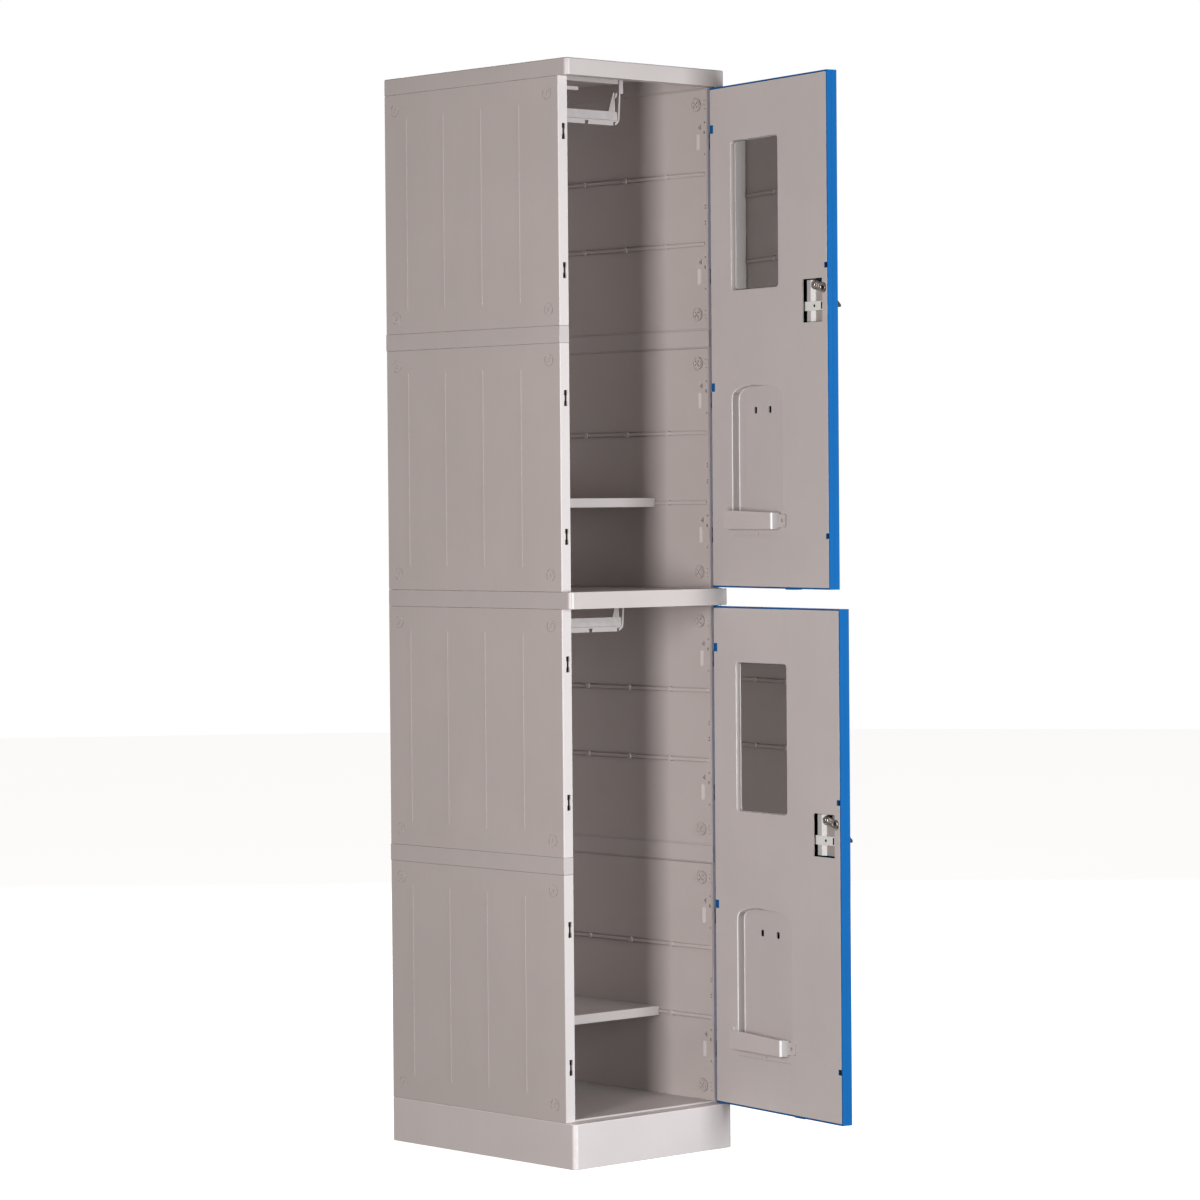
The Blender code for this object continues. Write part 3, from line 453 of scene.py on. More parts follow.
# The lock case is one plate. Its lower step takes a darker copy, painted shade, and its rib a near white
# copy, a painted highlight.
SATIN_PAINTED_SHADE = plastic("satin_case_painted_shade", (0.385, 0.335, 0.312), 0.40, specular=0.5)
SATIN_PAINTED_HIGHLIGHT = plastic("satin_case_painted_highlight", (0.93, 0.91, 0.89), 0.26, specular=0.9)
CHROME = metal("chrome", (0.90, 0.86, 0.82), 0.14)
STEEL = metal("steel", (0.66, 0.62, 0.58), 0.26, brushed=(1.0, 1.0, 0.12), scratch=0.12)
# A lighter copy of the grey plastic and its edge finish: painted light, on the plinth, the side boards'
# front flanges and the umbrella bars.
PAINTED_LIGHT_GREY = plastic("grey_plastic_painted_light", (0.60, 0.535, 0.520), 0.36)
PAINTED_LIGHT_GREY_EDGE = plastic("grey_plastic_painted_light_edge", (0.62, 0.555, 0.540), 0.31, worn=0.4)
# A near black copy of the blue plastic for the door shell's hollow inside: painted shade.
BLUE_PAINTED_SHADE = plastic("blue_plastic_painted_shade", (0.004, 0.040, 0.060), 0.60, mottle=0.08, specular=0.05)

# Finishes: the material of the faces, that of the edges, then those of chosen faces. Some finishes carry
# painted light: a lighter grey, painted highlights and painted shade.
GREYS = (GREY, GREY_EDGE, PATCH)
FLANGED = (GREY, GREY_EDGE, PAINTED_LIGHT_GREY)
PALES = (PALE, PALE_EDGE)
PAINTED_LIGHT_GREYS = (PAINTED_LIGHT_GREY, PAINTED_LIGHT_GREY_EDGE)
LINERS = (LINER, LINER_EDGE_WEAR_AND_PAINTED_HIGHLIGHT, LINER_PAINTED_SHADE, LINER_PAINTED_HIGHLIGHT)
STRAPS = (PAINTED_LIGHT_GREY, PAINTED_LIGHT_GREY_EDGE, LINER, LINER_PAINTED_SHADE, LINER_PAINTED_HIGHLIGHT)
BLUES = (BLUE, BLUE_EDGE, BLUE_PAINTED_SHADE)
CLIPS = (WHITE, WHITE_EDGE, DARK_PLASTIC_AND_PAINTED_SHADE)
DARKS = (DARK_PLASTIC_AND_PAINTED_SHADE, DARK_EDGE)
GLASSES = (GLASS, GLASS_EDGE)
SATINS = (SATIN, SATIN, SATIN_PAINTED_HIGHLIGHT, SATIN_PAINTED_SHADE)
CHROMES = (CHROME, CHROME)
STEELS = (STEEL, STEEL)


# ---------------------------------------------------------------- carcass


BAND_WALL = 0.0045
RIDGE_INSET = 0.043


def span(sign, near, far):
    """Two distances from the middle, on the side that sign gives, in rising order."""
    return min(sign * near, sign * far), max(sign * near, sign * far)


def band(name, base, height, top_radius):
    """A full-width panel with rounded corners: a top plate on a rim, hollow below."""
    top = base + height
    outline = rounded(-HALF_WIDTH, FRONT, HALF_WIDTH, BACK, (0.009, 0.003, 0.003, 0.009), 6)
    obj = helper(name, [prism(outline, "XY", base, top)])
    soften(obj, top_radius, 4, pick=lambda a, b: min(a.z, b.z) > top - 1e-5)
    soften(obj, 0.0010, 2, pick=lambda a, b: max(a.z, b.z) < base + 1e-5)
    under = base - 0.01
    plate = top - PLATE
    hollows = [box((-INNER, WALL_FRONT, under), (INNER, BACK_INNER, plate))]
    for sign in (-1, 1):
        low, high = span(sign, INNER + BAND_WALL, HALF_WIDTH - BAND_WALL)
        hollows.append(box((low, WALL_FRONT + BAND_WALL, under), (high, BACK - BAND_WALL, plate)))
    half = INNER - BAND_WALL
    hollows.append(box((-half, BACK_INNER + BAND_WALL, under), (half, BACK - BAND_WALL, plate)))
    return obj, hollows


def pin_bore(z):
    """A cutter for the hinge pin's hole at a band's face."""
    return disc("XY", HINGE, 0.0033, z - 0.0125, z + 0.0125, 20)


def inner_rim(base):
    """Edges of the rim round a band's hollow, seen from inside the locker."""
    def pick(a, b):
        low = max(a.z, b.z) < base + 1e-5
        near = all(abs(p.x) < INNER + 1e-4 and WALL_FRONT - 1e-4 < p.y < BACK_INNER + 1e-4 for p in (a, b))
        return low and near
    return pick


def bands():
    """The cap, the divider and the plinth."""
    cap, hollows = band("top_panel_shell", CAP_BASE, BAND_HEIGHT, 0.0040)
    carve(cap, [("DIFFERENCE", hollows), ("DIFFERENCE", [pin_bore(CAP_BASE)])])
    soften(cap, 0.0008, 2, pick=inner_rim(CAP_BASE))
    settle(cap, "carcass", PALES, ["top_panel"])

    divider, hollows = band("divider_shell", DIVIDER_BASE, BAND_HEIGHT, 0.0016)
    carve(divider, [
        ("DIFFERENCE", hollows),
        ("DIFFERENCE", [pin_bore(DIVIDER_BASE)]),
        ("DIFFERENCE", [pin_bore(DIVIDER_BASE + BAND_HEIGHT)]),
    ])
    soften(divider, 0.0008, 2, pick=inner_rim(DIVIDER_BASE))
    settle(divider, "carcass", PALES, ["divider_panel"])

    plinth, hollows = band("plinth_shell", 0.0, PLINTH_HEIGHT, 0.0016)
    half = HALF_WIDTH - BAND_WALL - 0.004
    hollows.append(box((-half, FRONT + BAND_WALL, -0.01), (half, WALL_FRONT - BAND_WALL, 0.060)))
    top = PLINTH_HEIGHT - 0.002
    across = box((-INNER - 0.002, -0.008, 0.0), (INNER + 0.002, 0.008, top))
    along = box((-0.008, WALL_FRONT - 0.002, 0.0), (0.008, BACK_INNER + 0.002, top))
    carve(plinth, [
        ("DIFFERENCE", hollows),
        ("DIFFERENCE", [pin_bore(PLINTH_HEIGHT)]),
        ("UNION", [across]),
        ("UNION", [along]),
    ])
    # The whole plinth takes the lighter grey: painted light.
    settle(plinth, "carcass", PAINTED_LIGHT_GREYS, ["base_plinth"])


def ridge(y, x, outward, low, high):
    """A fine upright ridge on a side wall."""
    root, crest = 0.0015, 0.0005
    sunk, proud = x - outward * 0.0005, x + outward * 0.0008
    loop = [
        (sunk, y - root), (x, y - root), (proud, y - crest),
        (proud, y + crest), (x, y + root), (sunk, y + root),
    ]
    return prism(loop, "XY", low, high)


RIDGE_YS = (0.188, 0.0845, -0.019, -0.122)


def plug_marks(sign, x, middle):
    """Cutters for the flush round plugs in a side wall's corners: a ring, a slot and two dents."""
    made = []
    start, end = span(sign, x - 0.0012, x + 0.002)
    for y in KNOB_Y:
        for rise in (-KNOB_RISE, KNOB_RISE):
            z = middle + rise
            made += ring_cutter("YZ", (y, z), 0.0113, 0.0099, start, end)
            made.append(box((start, y - 0.0008, z - 0.0042), (end, y + 0.0008, z + 0.0042)))
            made.append(disc("YZ", (y - 0.0045, z + 0.0038), 0.0012, start, end, 12))
            made.append(disc("YZ", (y + 0.0045, z - 0.0038), 0.0012, start, end, 12))
    return made


def outer_board(side, sign, number, base):
    """A side wall's outer half: ridges, plugs, and two waisted slots in its front flange."""
    node = f"{side}_outer_board_{number}"
    middle = base + BOARD_HEIGHT / 2
    outside = sign * (HALF_WIDTH - PROUD)
    obj = cad_copy(node, f"{node}_skin")
    ends = (base + RIDGE_INSET, base + BOARD_HEIGHT - RIDGE_INSET)
    ridges = [ridge(y, outside, sign, *ends) for y in RIDGE_YS]
    slots, waists = [], []
    for rise in (-SLOT_RISE, SLOT_RISE):
        z = middle + rise
        x = sign * SLOT_X
        slots.append(box(
            (x - 0.0040, WALL_FRONT - 0.001, z - 0.0140), (x + 0.0036, WALL_FRONT + 0.006, z + 0.0140)))
        for low, high in ((-0.0042, -0.0029), (0.0025, 0.0038)):
            waists.append(box((x + low, WALL_FRONT, z - 0.0050), (x + high, WALL_FRONT + SKIN, z + 0.0050)))

    def on_side(a, b):
        return abs(a.x - outside) < 1e-5 and abs(b.x - outside) < 1e-5

    def corner(a, b):
        return on_side(a, b) and max(a.y, b.y) < WALL_FRONT + 1e-5

    def rim(a, b):
        return on_side(a, b) and not corner(a, b)

    soften(obj, 0.0016, 3, pick=corner)
    soften(obj, 0.0005, 1, pick=rim)
    carve(obj, [
        ("UNION", ridges),
        ("DIFFERENCE", plug_marks(sign, HALF_WIDTH - PROUD, middle)),
        ("DIFFERENCE", slots),
        ("UNION", waists),
    ])

    # The front flange faces take the lighter grey: painted light on the faces that look to the front.
    def finish_of(face):
        return PAINTED_LIGHT_GREY if face.normal.y < -0.9 and face.center.y < WALL_FRONT + 0.0005 else None

    settle(obj, "carcass", FLANGED, [node], finish_of=finish_of)


def knob_cutters(sign, z, y):
    """The ring, the hollow and the holes in the face of a wall's round fixing knob."""
    face = INNER - 0.002
    shallow = span(sign, face - 0.001, face + 0.0013)
    deep = span(sign, face - 0.001, face + 0.0036)
    made = ring_cutter("YZ", (y, z), 0.0098, 0.0084, *shallow)
    made.append(disc("YZ", (y, z), 0.0019, *deep, 12))
    for step in range(4):
        turn = math.radians(45 + 90 * step)
        centre = (y + 0.0050 * math.cos(turn), z + 0.0050 * math.sin(turn))
        made.append(disc("YZ", centre, 0.0018, *deep, 12))
    return made


def wall_marks(z, through):
    """Cutters for the small openings round one slot of a side wall."""
    made = []
    for low, high in (
        ((-0.2088, 0.0220), (-0.2062, 0.0310)),
        ((-0.2055, 0.0250), (-0.2025, 0.0275)),
        ((-0.2195, 0.0140), (-0.2165, 0.0200)),
        ((-0.2205, 0.0330), (-0.2180, 0.0365)),
        ((-0.2200, -0.0240), (-0.2180, -0.0205)),
    ):
        made.append(box((through[0], low[0], z + low[1]), (through[1], high[0], z + high[1])))
    return made


def inner_board(side, sign, number, base):
    """A side wall's inner half: two rails with stops, knobs at the front, and patches by the slots."""
    node = f"{side}_inner_board_{number}"
    middle = base + BOARD_HEIGHT / 2
    obj = cad_copy(node, f"{node}_skin")
    bumps, cuts, gutters = [], [], []
    near, far = span(sign, INNER - 0.0058, INNER + 0.001)
    groove = span(sign, INNER - 0.001, INNER + 0.0013)
    for rise in (-RAIL_RISE, RAIL_RISE):
        z = middle + rise
        for y in (-0.121, -0.011, 0.101):
            bumps.append(disc("YZ", (y, z), 0.0046, near, far, 16))
        for edge in (-1, 1):
            low, high = span(edge, 0.0028, 0.0046)
            gutters.append(box(
                (groove[0], WALL_FRONT + 0.007, z + low), (groove[1], BACK_INNER - 0.004, z + high)))
    deep = span(sign, INNER - 0.003, INNER + 0.0021)
    through = span(sign, INNER - 0.003, INNER + 0.0040)
    for rise in (-KNOB_RISE, KNOB_RISE):
        z = middle + rise
        cuts += knob_cutters(sign, z, KNOB_Y[0])
        gutters += ring_cutter("YZ", (KNOB_Y[0], z), 0.0134, 0.0114, *deep)
        for y, up in ((-0.2180, 0.0065), (-0.2180, -0.0010), (-0.2195, -0.0080)):
            cuts.append(disc("YZ", (y, z + up), 0.0012, *through, 10))
    patches = []
    patch = span(sign, INNER - 0.0009, INNER + 0.001)
    for rise in (-SLOT_RISE, SLOT_RISE):
        z = middle + rise
        patches.append(prism(
            rounded(-0.207, z - 0.014, -0.199, z + 0.014, 0.002, 3), "YZ", *patch))
        cuts += wall_marks(z, through)
    for rise in (0.0045, -0.0245):
        for offset in (-0.0026, 0.0026):
            cuts.append(disc("YZ", (-0.2195, middle + rise + offset), 0.0016, *through, 10))
    carve(obj, [("UNION", bumps), ("DIFFERENCE", gutters), ("DIFFERENCE", cuts), ("UNION", patches)])

    def rail(a, b):
        proud = all(abs(p.x) < INNER - 0.0035 and abs(p.x) > INNER - 0.0045 for p in (a, b))
        return proud and abs(a.y - b.y) > 0.01

    soften(obj, 0.0010, 3, pick=rail)

    def finish_of(face):
        centre = face.center
        on_patch = -0.2072 < centre.y < -0.1988 and abs(abs(centre.z - middle) - SLOT_RISE) < 0.0141
        return PATCH if on_patch and abs(centre.x) < INNER - 0.0005 else None

    settle(obj, "carcass", GREYS, [node], finish_of=finish_of)


def back_board(number, base):
    """One board of the back wall, with ridges and knobs on its outside."""
    node = f"back_board_{number}"
    obj = cad_copy(node, f"{node}_skin")
    face = BACK - PROUD
    ends = (base + RIDGE_INSET, base + BOARD_HEIGHT - RIDGE_INSET)
    ridges, cuts = [], []
    for x in (-0.110, -0.037, 0.037, 0.110):
        loop = [
            (x - 0.0011, face - 0.0005), (x - 0.0011, face), (x - 0.0004, face + 0.0006),
            (x + 0.0004, face + 0.0006), (x + 0.0011, face), (x + 0.0011, face - 0.0005),
        ]
        ridges.append(prism(loop, "XY", *ends))
    middle = base + BOARD_HEIGHT / 2
    for x in (-0.145, 0.145):
        for rise in (-KNOB_RISE, KNOB_RISE):
            z = middle + rise
            cuts += ring_cutter("XZ", (x, z), 0.0112, 0.0103, face - 0.0006, face + 0.002)
            cuts.append(box((x - 0.0008, face - 0.0006, z - 0.0042), (x + 0.0008, face + 0.002, z + 0.0042)))
    soften(obj, 0.0006, 1, pick=lambda a, b: min(a.y, b.y) > face - 1e-5)
    carve(obj, [("UNION", ridges), ("DIFFERENCE", cuts)])
    settle(obj, "carcass", GREYS, [node])


def joint_strips():
    for level in ("lower", "upper"):
        for side in ("left", "right", "back"):
            node = f"{side}_joint_strip_{level}"
            obj = cad_copy(node, f"{node}_skin")
            settle(obj, "carcass", PALES, [node])


def carcass():
    bands()
    for number, base in enumerate(BOARD_BASES, start=1):
        back_board(number, base)
        for side, sign in (("left", -1), ("right", 1)):
            outer_board(side, sign, number, base)
            inner_board(side, sign, number, base)
    joint_strips()


# ---------------------------------------------------------------- shelves and hanger rails


def shelves():
    for level in ("upper", "lower"):
        node = f"{level}_shelf"
        obj = cad_copy(node, f"{node}_tray")
        low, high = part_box(node)
        soften(obj, 0.0012, 3, pick=lambda a, b: max(a.y, b.y) < low.y + 0.0012 and abs(a.x - b.x) > 0.1)
        settle(obj, f"{level}_shelf", PALES, [node])


HANGER_FRONT, HANGER_BACK = -0.094, -0.066
HANGER_HALF = 0.0735
HANGER_HEAD_RISE = 0.034


def hanger_bar(bar_top):
    """The bar's section: a flat top, a sloping front and a lip below it."""
    front, back = HANGER_FRONT, HANGER_BACK
    section = [
        (back, bar_top), (front + 0.003, bar_top), (front, bar_top - 0.0150),
        (front - 0.0020, bar_top - 0.0170), (front - 0.0020, bar_top - 0.0255),
        (front + 0.0010, bar_top - 0.0255), (front + 0.0010, bar_top - 0.0185),
        (front + 0.003, bar_top - 0.0160), (front + 0.006, bar_top - 0.003), (back, bar_top - 0.003),
    ]
    return prism(section, "YZ", -HANGER_HALF, HANGER_HALF)


def hanger_notches(bar_top):
    """Cutters for the lip: a leaning notch in the middle, an opening at each end, and a fine line."""
    high, low = bar_top - 0.0190, bar_top - 0.0300
    start, end = HANGER_FRONT - 0.006, HANGER_FRONT + 0.0025
    made = [prism([(-0.0098, high), (-0.0008, high), (-0.0052, low), (-0.0088, low)], "XZ", start, end)]
    for sign in (-1, 1):
        near, far = span(sign, 0.0590, 0.0835)
        made.append(box((near, start, low), (far, end, high)))
    made.append(box(
        (-0.080, start, bar_top - 0.0223), (0.080, HANGER_FRONT - 0.0016, bar_top - 0.0218)))
    return made


def hanger_arm(sign, bar_top, top):
    """One arm: a head, a narrow strut that curls under the bar, a finger and a ribbed brace on the bar."""
    front = HANGER_FRONT
    head = bar_top + HANGER_HEAD_RISE
    centre = (0.0600, bar_top - 0.0100)
    strut = arc(centre, 0.0154, -72, 0, 10) + [(0.0784, head + 0.001), (0.0747, head + 0.001)]
    strut += arc(centre, 0.0118, 0, -72, 10)
    brace = [
        (0.0535, bar_top - 0.001), (0.0700, bar_top - 0.001),
        (0.0680, head + 0.0005), (0.0655, head + 0.0005),
    ]
    finger = [
        (0.0745, head + 0.002), (0.0765, head + 0.001), (0.0728, head - 0.0085),
        (0.0700, head - 0.0090), (0.0712, head - 0.0010),
    ]
    low, high = span(sign, 0.0745, 0.0842)
    parts = [box((low, front - 0.0014, head - 0.001), (high, front + 0.008, top))]
    for outline, near, far in ((strut, -0.001, 0.0036), (brace, 0.0046, 0.0076), (finger, 0.0046, 0.0076)):
        parts.append(prism([(sign * x, z) for x, z in outline], "XZ", front + near, front + far))
    for foot, tip in ((0.0568, 0.0660), (0.0608, 0.0668), (0.0650, 0.0675)):
        rib = [
            (foot - 0.0007, bar_top - 0.0008), (foot + 0.0007, bar_top - 0.0008),
            (tip + 0.0003, head - 0.0040), (tip - 0.0003, head - 0.0040),
        ]
        parts.append(prism([(sign * x, z) for x, z in rib], "XZ", front + 0.0040, front + 0.0060))
    return parts


def hanger_rails():
    """The two rails: a bar on two arms, which hang from a strap, a crossbar and a tongue."""
    for level, ceiling, bar_top in (
        ("lower", DIVIDER_BASE + BAND_HEIGHT - PLATE, DIVIDER_BASE - 0.0215),
        ("upper", HEIGHT - PLATE, CAP_BASE - 0.039),
    ):
        node = f"{level}_hanger_rail"
        front = HANGER_FRONT
        top = ceiling - GAP
        under = ceiling - (ceiling - bar_top - HANGER_HEAD_RISE) / 2
        obj = helper(f"{node}_moulding", [hanger_bar(bar_top)])
        steps = [("DIFFERENCE", [part]) for part in hanger_notches(bar_top)]
        for sign in (-1, 1):
            steps += [("UNION", [part]) for part in hanger_arm(sign, bar_top, top - 0.0005)]
        for low, high in (
            ((-0.0712, front - 0.003, under), (0.0712, front + 0.020, top - 0.001)),
            ((-0.0860, front - 0.002, ceiling - 0.004), (0.0860, front + 0.018, top)),
            ((-0.0800, front + 0.0015, bar_top + 0.0335), (-0.0220, front + 0.0055, bar_top + 0.0400)),
        ):
            steps.append(("UNION", [box(low, high)]))
        carve(obj, steps)
        soften(obj, 0.0004, 2, pick=lambda a, b: (a - b).length > 0.0028)
        settle(obj, "carcass", PALES, [node])


# ---------------------------------------------------------------- doors


POCKET_LEFT, POCKET_RIGHT = 0.064, 0.225
POCKET_TOP, POCKET_SPRING, POCKET_BOTTOM = 0.537, 0.562, 0.784
POCKET_DEEP, POCKET_SHALLOW = 0.0150, 0.0007


def pocket_outline(margin):
    """Straight sides under a flat arch, with rounded lower corners."""
    middle = -(POCKET_LEFT + POCKET_RIGHT) / 2
    half = (POCKET_RIGHT - POCKET_LEFT) / 2 + margin
    spring = DOOR_HEIGHT - POCKET_SPRING
    rise = POCKET_SPRING - POCKET_TOP + margin
    bottom = DOOR_HEIGHT - POCKET_BOTTOM - margin
    flatness = 2 / 2.8
    far, near = 0.010, 0.004
    points = arc((middle - half + far, bottom + far), far, 180, 270, 6)
    points += arc((middle + half - near, bottom + near), near, -90, 0, 4)
    steps = 26
    for step in range(steps + 1):
        turn = math.pi * step / steps
        across = math.copysign(abs(math.cos(turn)) ** flatness, math.cos(turn))
        up = max(0.0, math.sin(turn)) ** flatness
        points.append((middle + half * across, spring + rise * up))
    return points


def pocket_floor(x):
    slope = (POCKET_DEEP - POCKET_SHALLOW) / (POCKET_RIGHT - POCKET_LEFT)
    return HALF_DOOR - POCKET_SHALLOW - slope * (x + POCKET_RIGHT)


def pocket(margin, face):
    """The umbrella pocket's body: deep at the hinge, with a floor that slopes to shallow."""
    points, faces = prism(pocket_outline(margin), "XZ", -0.02, face)
    moved = [(x, y if y > face - 1e-9 else pocket_floor(x) - margin, z) for x, y, z in points]
    return moved, faces


MIRROR_WINDOW = (0.064, 0.099, 0.214, 0.366)  # from the hinge and from the top: near, high, far, low
MIRROR_FLOOR = 0.0012
LOCK_WINDOW = (-0.351, -0.290, 0.357, 0.4325)
LOCK_LOBE = (-0.3540, 0.3745)
EDGE_NOTCH_DROPS = (0.3355, 0.8035)
HINGE_NOTCH_DROPS = (0.074, 0.537)
STRAP_SLOTS = (0.126, 0.179)


def door_liner(level):
    """The door's inner moulding: mirror and lock windows, the pocket, slots, notches and a seam."""
    node = f"{level}_door_liner"
    face, back = HALF_DOOR, HALF_DOOR - SKIN
    edge = SKIN + GAP
    plate = box((-DOOR_REACH + edge, back, edge), (0.003, face, DOOR_HEIGHT - edge))
    obj = helper(f"{node}_skin", [plate])
    soften(obj, 0.0008, 2, pick=lambda a, b: min(a.y, b.y) > face - 1e-6)
    left, top, right, bottom = MIRROR_WINDOW
    z_low, z_high = DOOR_HEIGHT - bottom, DOOR_HEIGHT - top
    seat = box(
        (-right - 0.002, MIRROR_FLOOR - 0.002, z_low - 0.002), (-left + 0.002, back + 0.001, z_high + 0.002))
    window = prism(rounded(-right, z_low, -left, z_high, 0.008, 6), "XZ", MIRROR_FLOOR, 0.02)
    carve(obj, [
        ("UNION", [seat]),
        ("UNION", [pocket(0.002, back + 0.001)]),
        ("DIFFERENCE", [window]),
        ("DIFFERENCE", [pocket(0.0, 0.02)]),
    ])

    def on_face(a, b):
        return min(a.y, b.y) > face - 1e-6

    def within(a, b, low_x, high_x, low_z, high_z):
        return all(low_x < p.x < high_x and low_z < p.z < high_z for p in (a, b))

    def deep_edge(a, b):
        return on_face(a, b) and within(a, b, -0.140, -0.06, 0.08, 0.37)

    def shallow_edge(a, b):
        return on_face(a, b) and within(a, b, -0.23, -0.145, 0.08, 0.37)

    def pocket_foot(a, b):
        return all(p.x > -0.140 and p.z > 0.08 and abs(p.y - pocket_floor(p.x)) < 1e-5 for p in (a, b))

    def window_edge(a, b):
        return on_face(a, b) and within(a, b, -0.22, -0.06, z_low - 0.002, z_high + 0.002)

    soften(obj, 0.0003, 2, pick=shallow_edge)
    soften(obj, 0.0020, 4, pick=deep_edge, clamp=False)
    soften(obj, 0.0018, 3, pick=pocket_foot, angle=20, clamp=False)
    soften(obj, 0.0012, 3, pick=window_edge)
    z = DOOR_HEIGHT
    far_side, near_side, high, low = LOCK_WINDOW
    cutout = box((far_side, -0.005, z - low), (near_side, 0.02, z - high))
    lobe = disc("XZ", (LOCK_LOBE[0], z - LOCK_LOBE[1]), 0.0095, -0.005, 0.02, 32)
    openings = []
    for drop in EDGE_NOTCH_DROPS:
        openings.append(box(
            (-DOOR_REACH - 0.01, -0.01, z - drop - 0.0049), (-0.3576, 0.02, z - drop + 0.0049)))
    for drop in HINGE_NOTCH_DROPS:
        openings.append(box((-0.0079, 0.0, z - drop - 0.0076), (0.01, 0.02, z - drop + 0.0076)))
    for across in STRAP_SLOTS:
        loop = rounded(-across - 0.0048, z - 0.5865, -across + 0.0048, z - 0.5745, 0.0026, 4)
        openings.append(prism(loop, "XZ", -0.02, 0.02))
    seam = rounded(-0.2240, z - 0.8046, -0.0650, z - 0.8028, 0.0007, 3)
    seam_floor = face - 0.0017
    openings.append(prism(seam, "XZ", seam_floor, 0.02))
    openings.append(box((-0.1480, seam_floor, z - 0.8034), (-0.1464, 0.02, z - 0.7965)))
    carve(obj, [("DIFFERENCE", [cutout]), ("DIFFERENCE", [lobe]), ("DIFFERENCE", openings)])

    # In the umbrella pocket the rounded edges take a painted highlight and the deep hinge-side wall painted
    # shade.
    def finish_of(face):
        centre, normal = face.center, face.normal
        if not (-0.19 < centre.x < -0.06 and 0.09 < centre.z < 0.37):
            return None
        if 0.12 < -normal.x < 0.93 and normal.y > 0.3:
            return LINER_PAINTED_HIGHLIGHT
        return LINER_PAINTED_SHADE if centre.y < HALF_DOOR - 0.0016 and normal.x < -0.6 else None

    settle(obj, f"{level}_door", LINERS, [node], door_matrix(level), finish_of=finish_of)


def umbrella_bar(level):
    """A strap across the pocket on two legs. Its top edge falls away from the hinge."""
    node = f"{level}_umbrella_bar"
    face = HALF_DOOR + GAP
    out = HALF_DOOR + 0.016
    wall = 0.003
    near, far = -0.058, -0.210
    splayed = far - 0.006
    top = DOOR_HEIGHT - 0.7572
    strap = [
        (splayed, face), (splayed + wall, face), (far + wall, out - wall), (near - wall, out - wall),
        (near - wall, face), (near + 0.008, face), (near + 0.008, face + wall), (near, face + wall),
        (near, out), (far, out), (splayed, face + wall),
    ]
    obj = helper(f"{node}_moulding", [prism(strap, "XY", DOOR_HEIGHT - 0.7910, top)])
    past = splayed - 0.001
    slant = [(0.01, top), (near, top), (past, top - 0.0052), (past, top + 0.02), (0.01, top + 0.02)]
    plate = rounded(
        splayed - 0.020, top - 0.0305, splayed + 0.001, top - 0.0080, (0.001, 0.001, 0.004, 0.004), 4)
    tab = box((near - wall, face, top - 0.02), (near, out - 0.006, top + 0.0050))
    middle = (-0.226, top - 0.0190)
    carve(obj, [
        ("DIFFERENCE", [prism(slant, "XZ", 0.0, 0.05)]),
        ("UNION", [prism(plate, "XZ", face, face + wall)]),
        ("UNION", [tab]),
        ("DIFFERENCE", [disc("XZ", middle, 0.0030, face + 0.0012, face + 0.01, 20)]),
    ])

    def end_corner(a, b):
        return all(abs(p.x - far) < 1e-4 and abs(p.y - out) < 1e-4 for p in (a, b))

    soften(obj, 0.0028, 4, pick=end_corner, angle=20, clamp=False)
    soften(obj, 0.0007, 2, pick=lambda a, b: (a - b).length > 0.002)

    # The strap is the lighter grey, painted light, with a painted highlight on its rounded end corner and
    # painted shade on its end face. The plate past its end keeps the liner's colour.
    def finish_of(surface):
        centre, normal = surface.center, surface.normal
        if -0.90 < normal.x < -0.10 and normal.y > 0.43 and centre.y > out - 0.004:
            return LINER_PAINTED_HIGHLIGHT
        if normal.x < -0.8 and centre.y < out - 0.0030 and centre.x < far:
            return LINER_PAINTED_SHADE
        return LINER if centre.x < past else None

    settle(obj, f"{level}_door", STRAPS, [node], door_matrix(level), finish_of=finish_of)

    screw = disc("XZ", middle, 0.0026, face + 0.0005, face + 0.0020, 20)
    head = helper(f"{level}_umbrella_bar_screw", [screw])
    slot = box((-0.2285, face + 0.0014, top - 0.0194), (-0.2235, face + 0.01, top - 0.0186))
    carve(head, [("DIFFERENCE", [slot])])
    settle(head, f"{level}_door", STEELS, (), door_matrix(level))


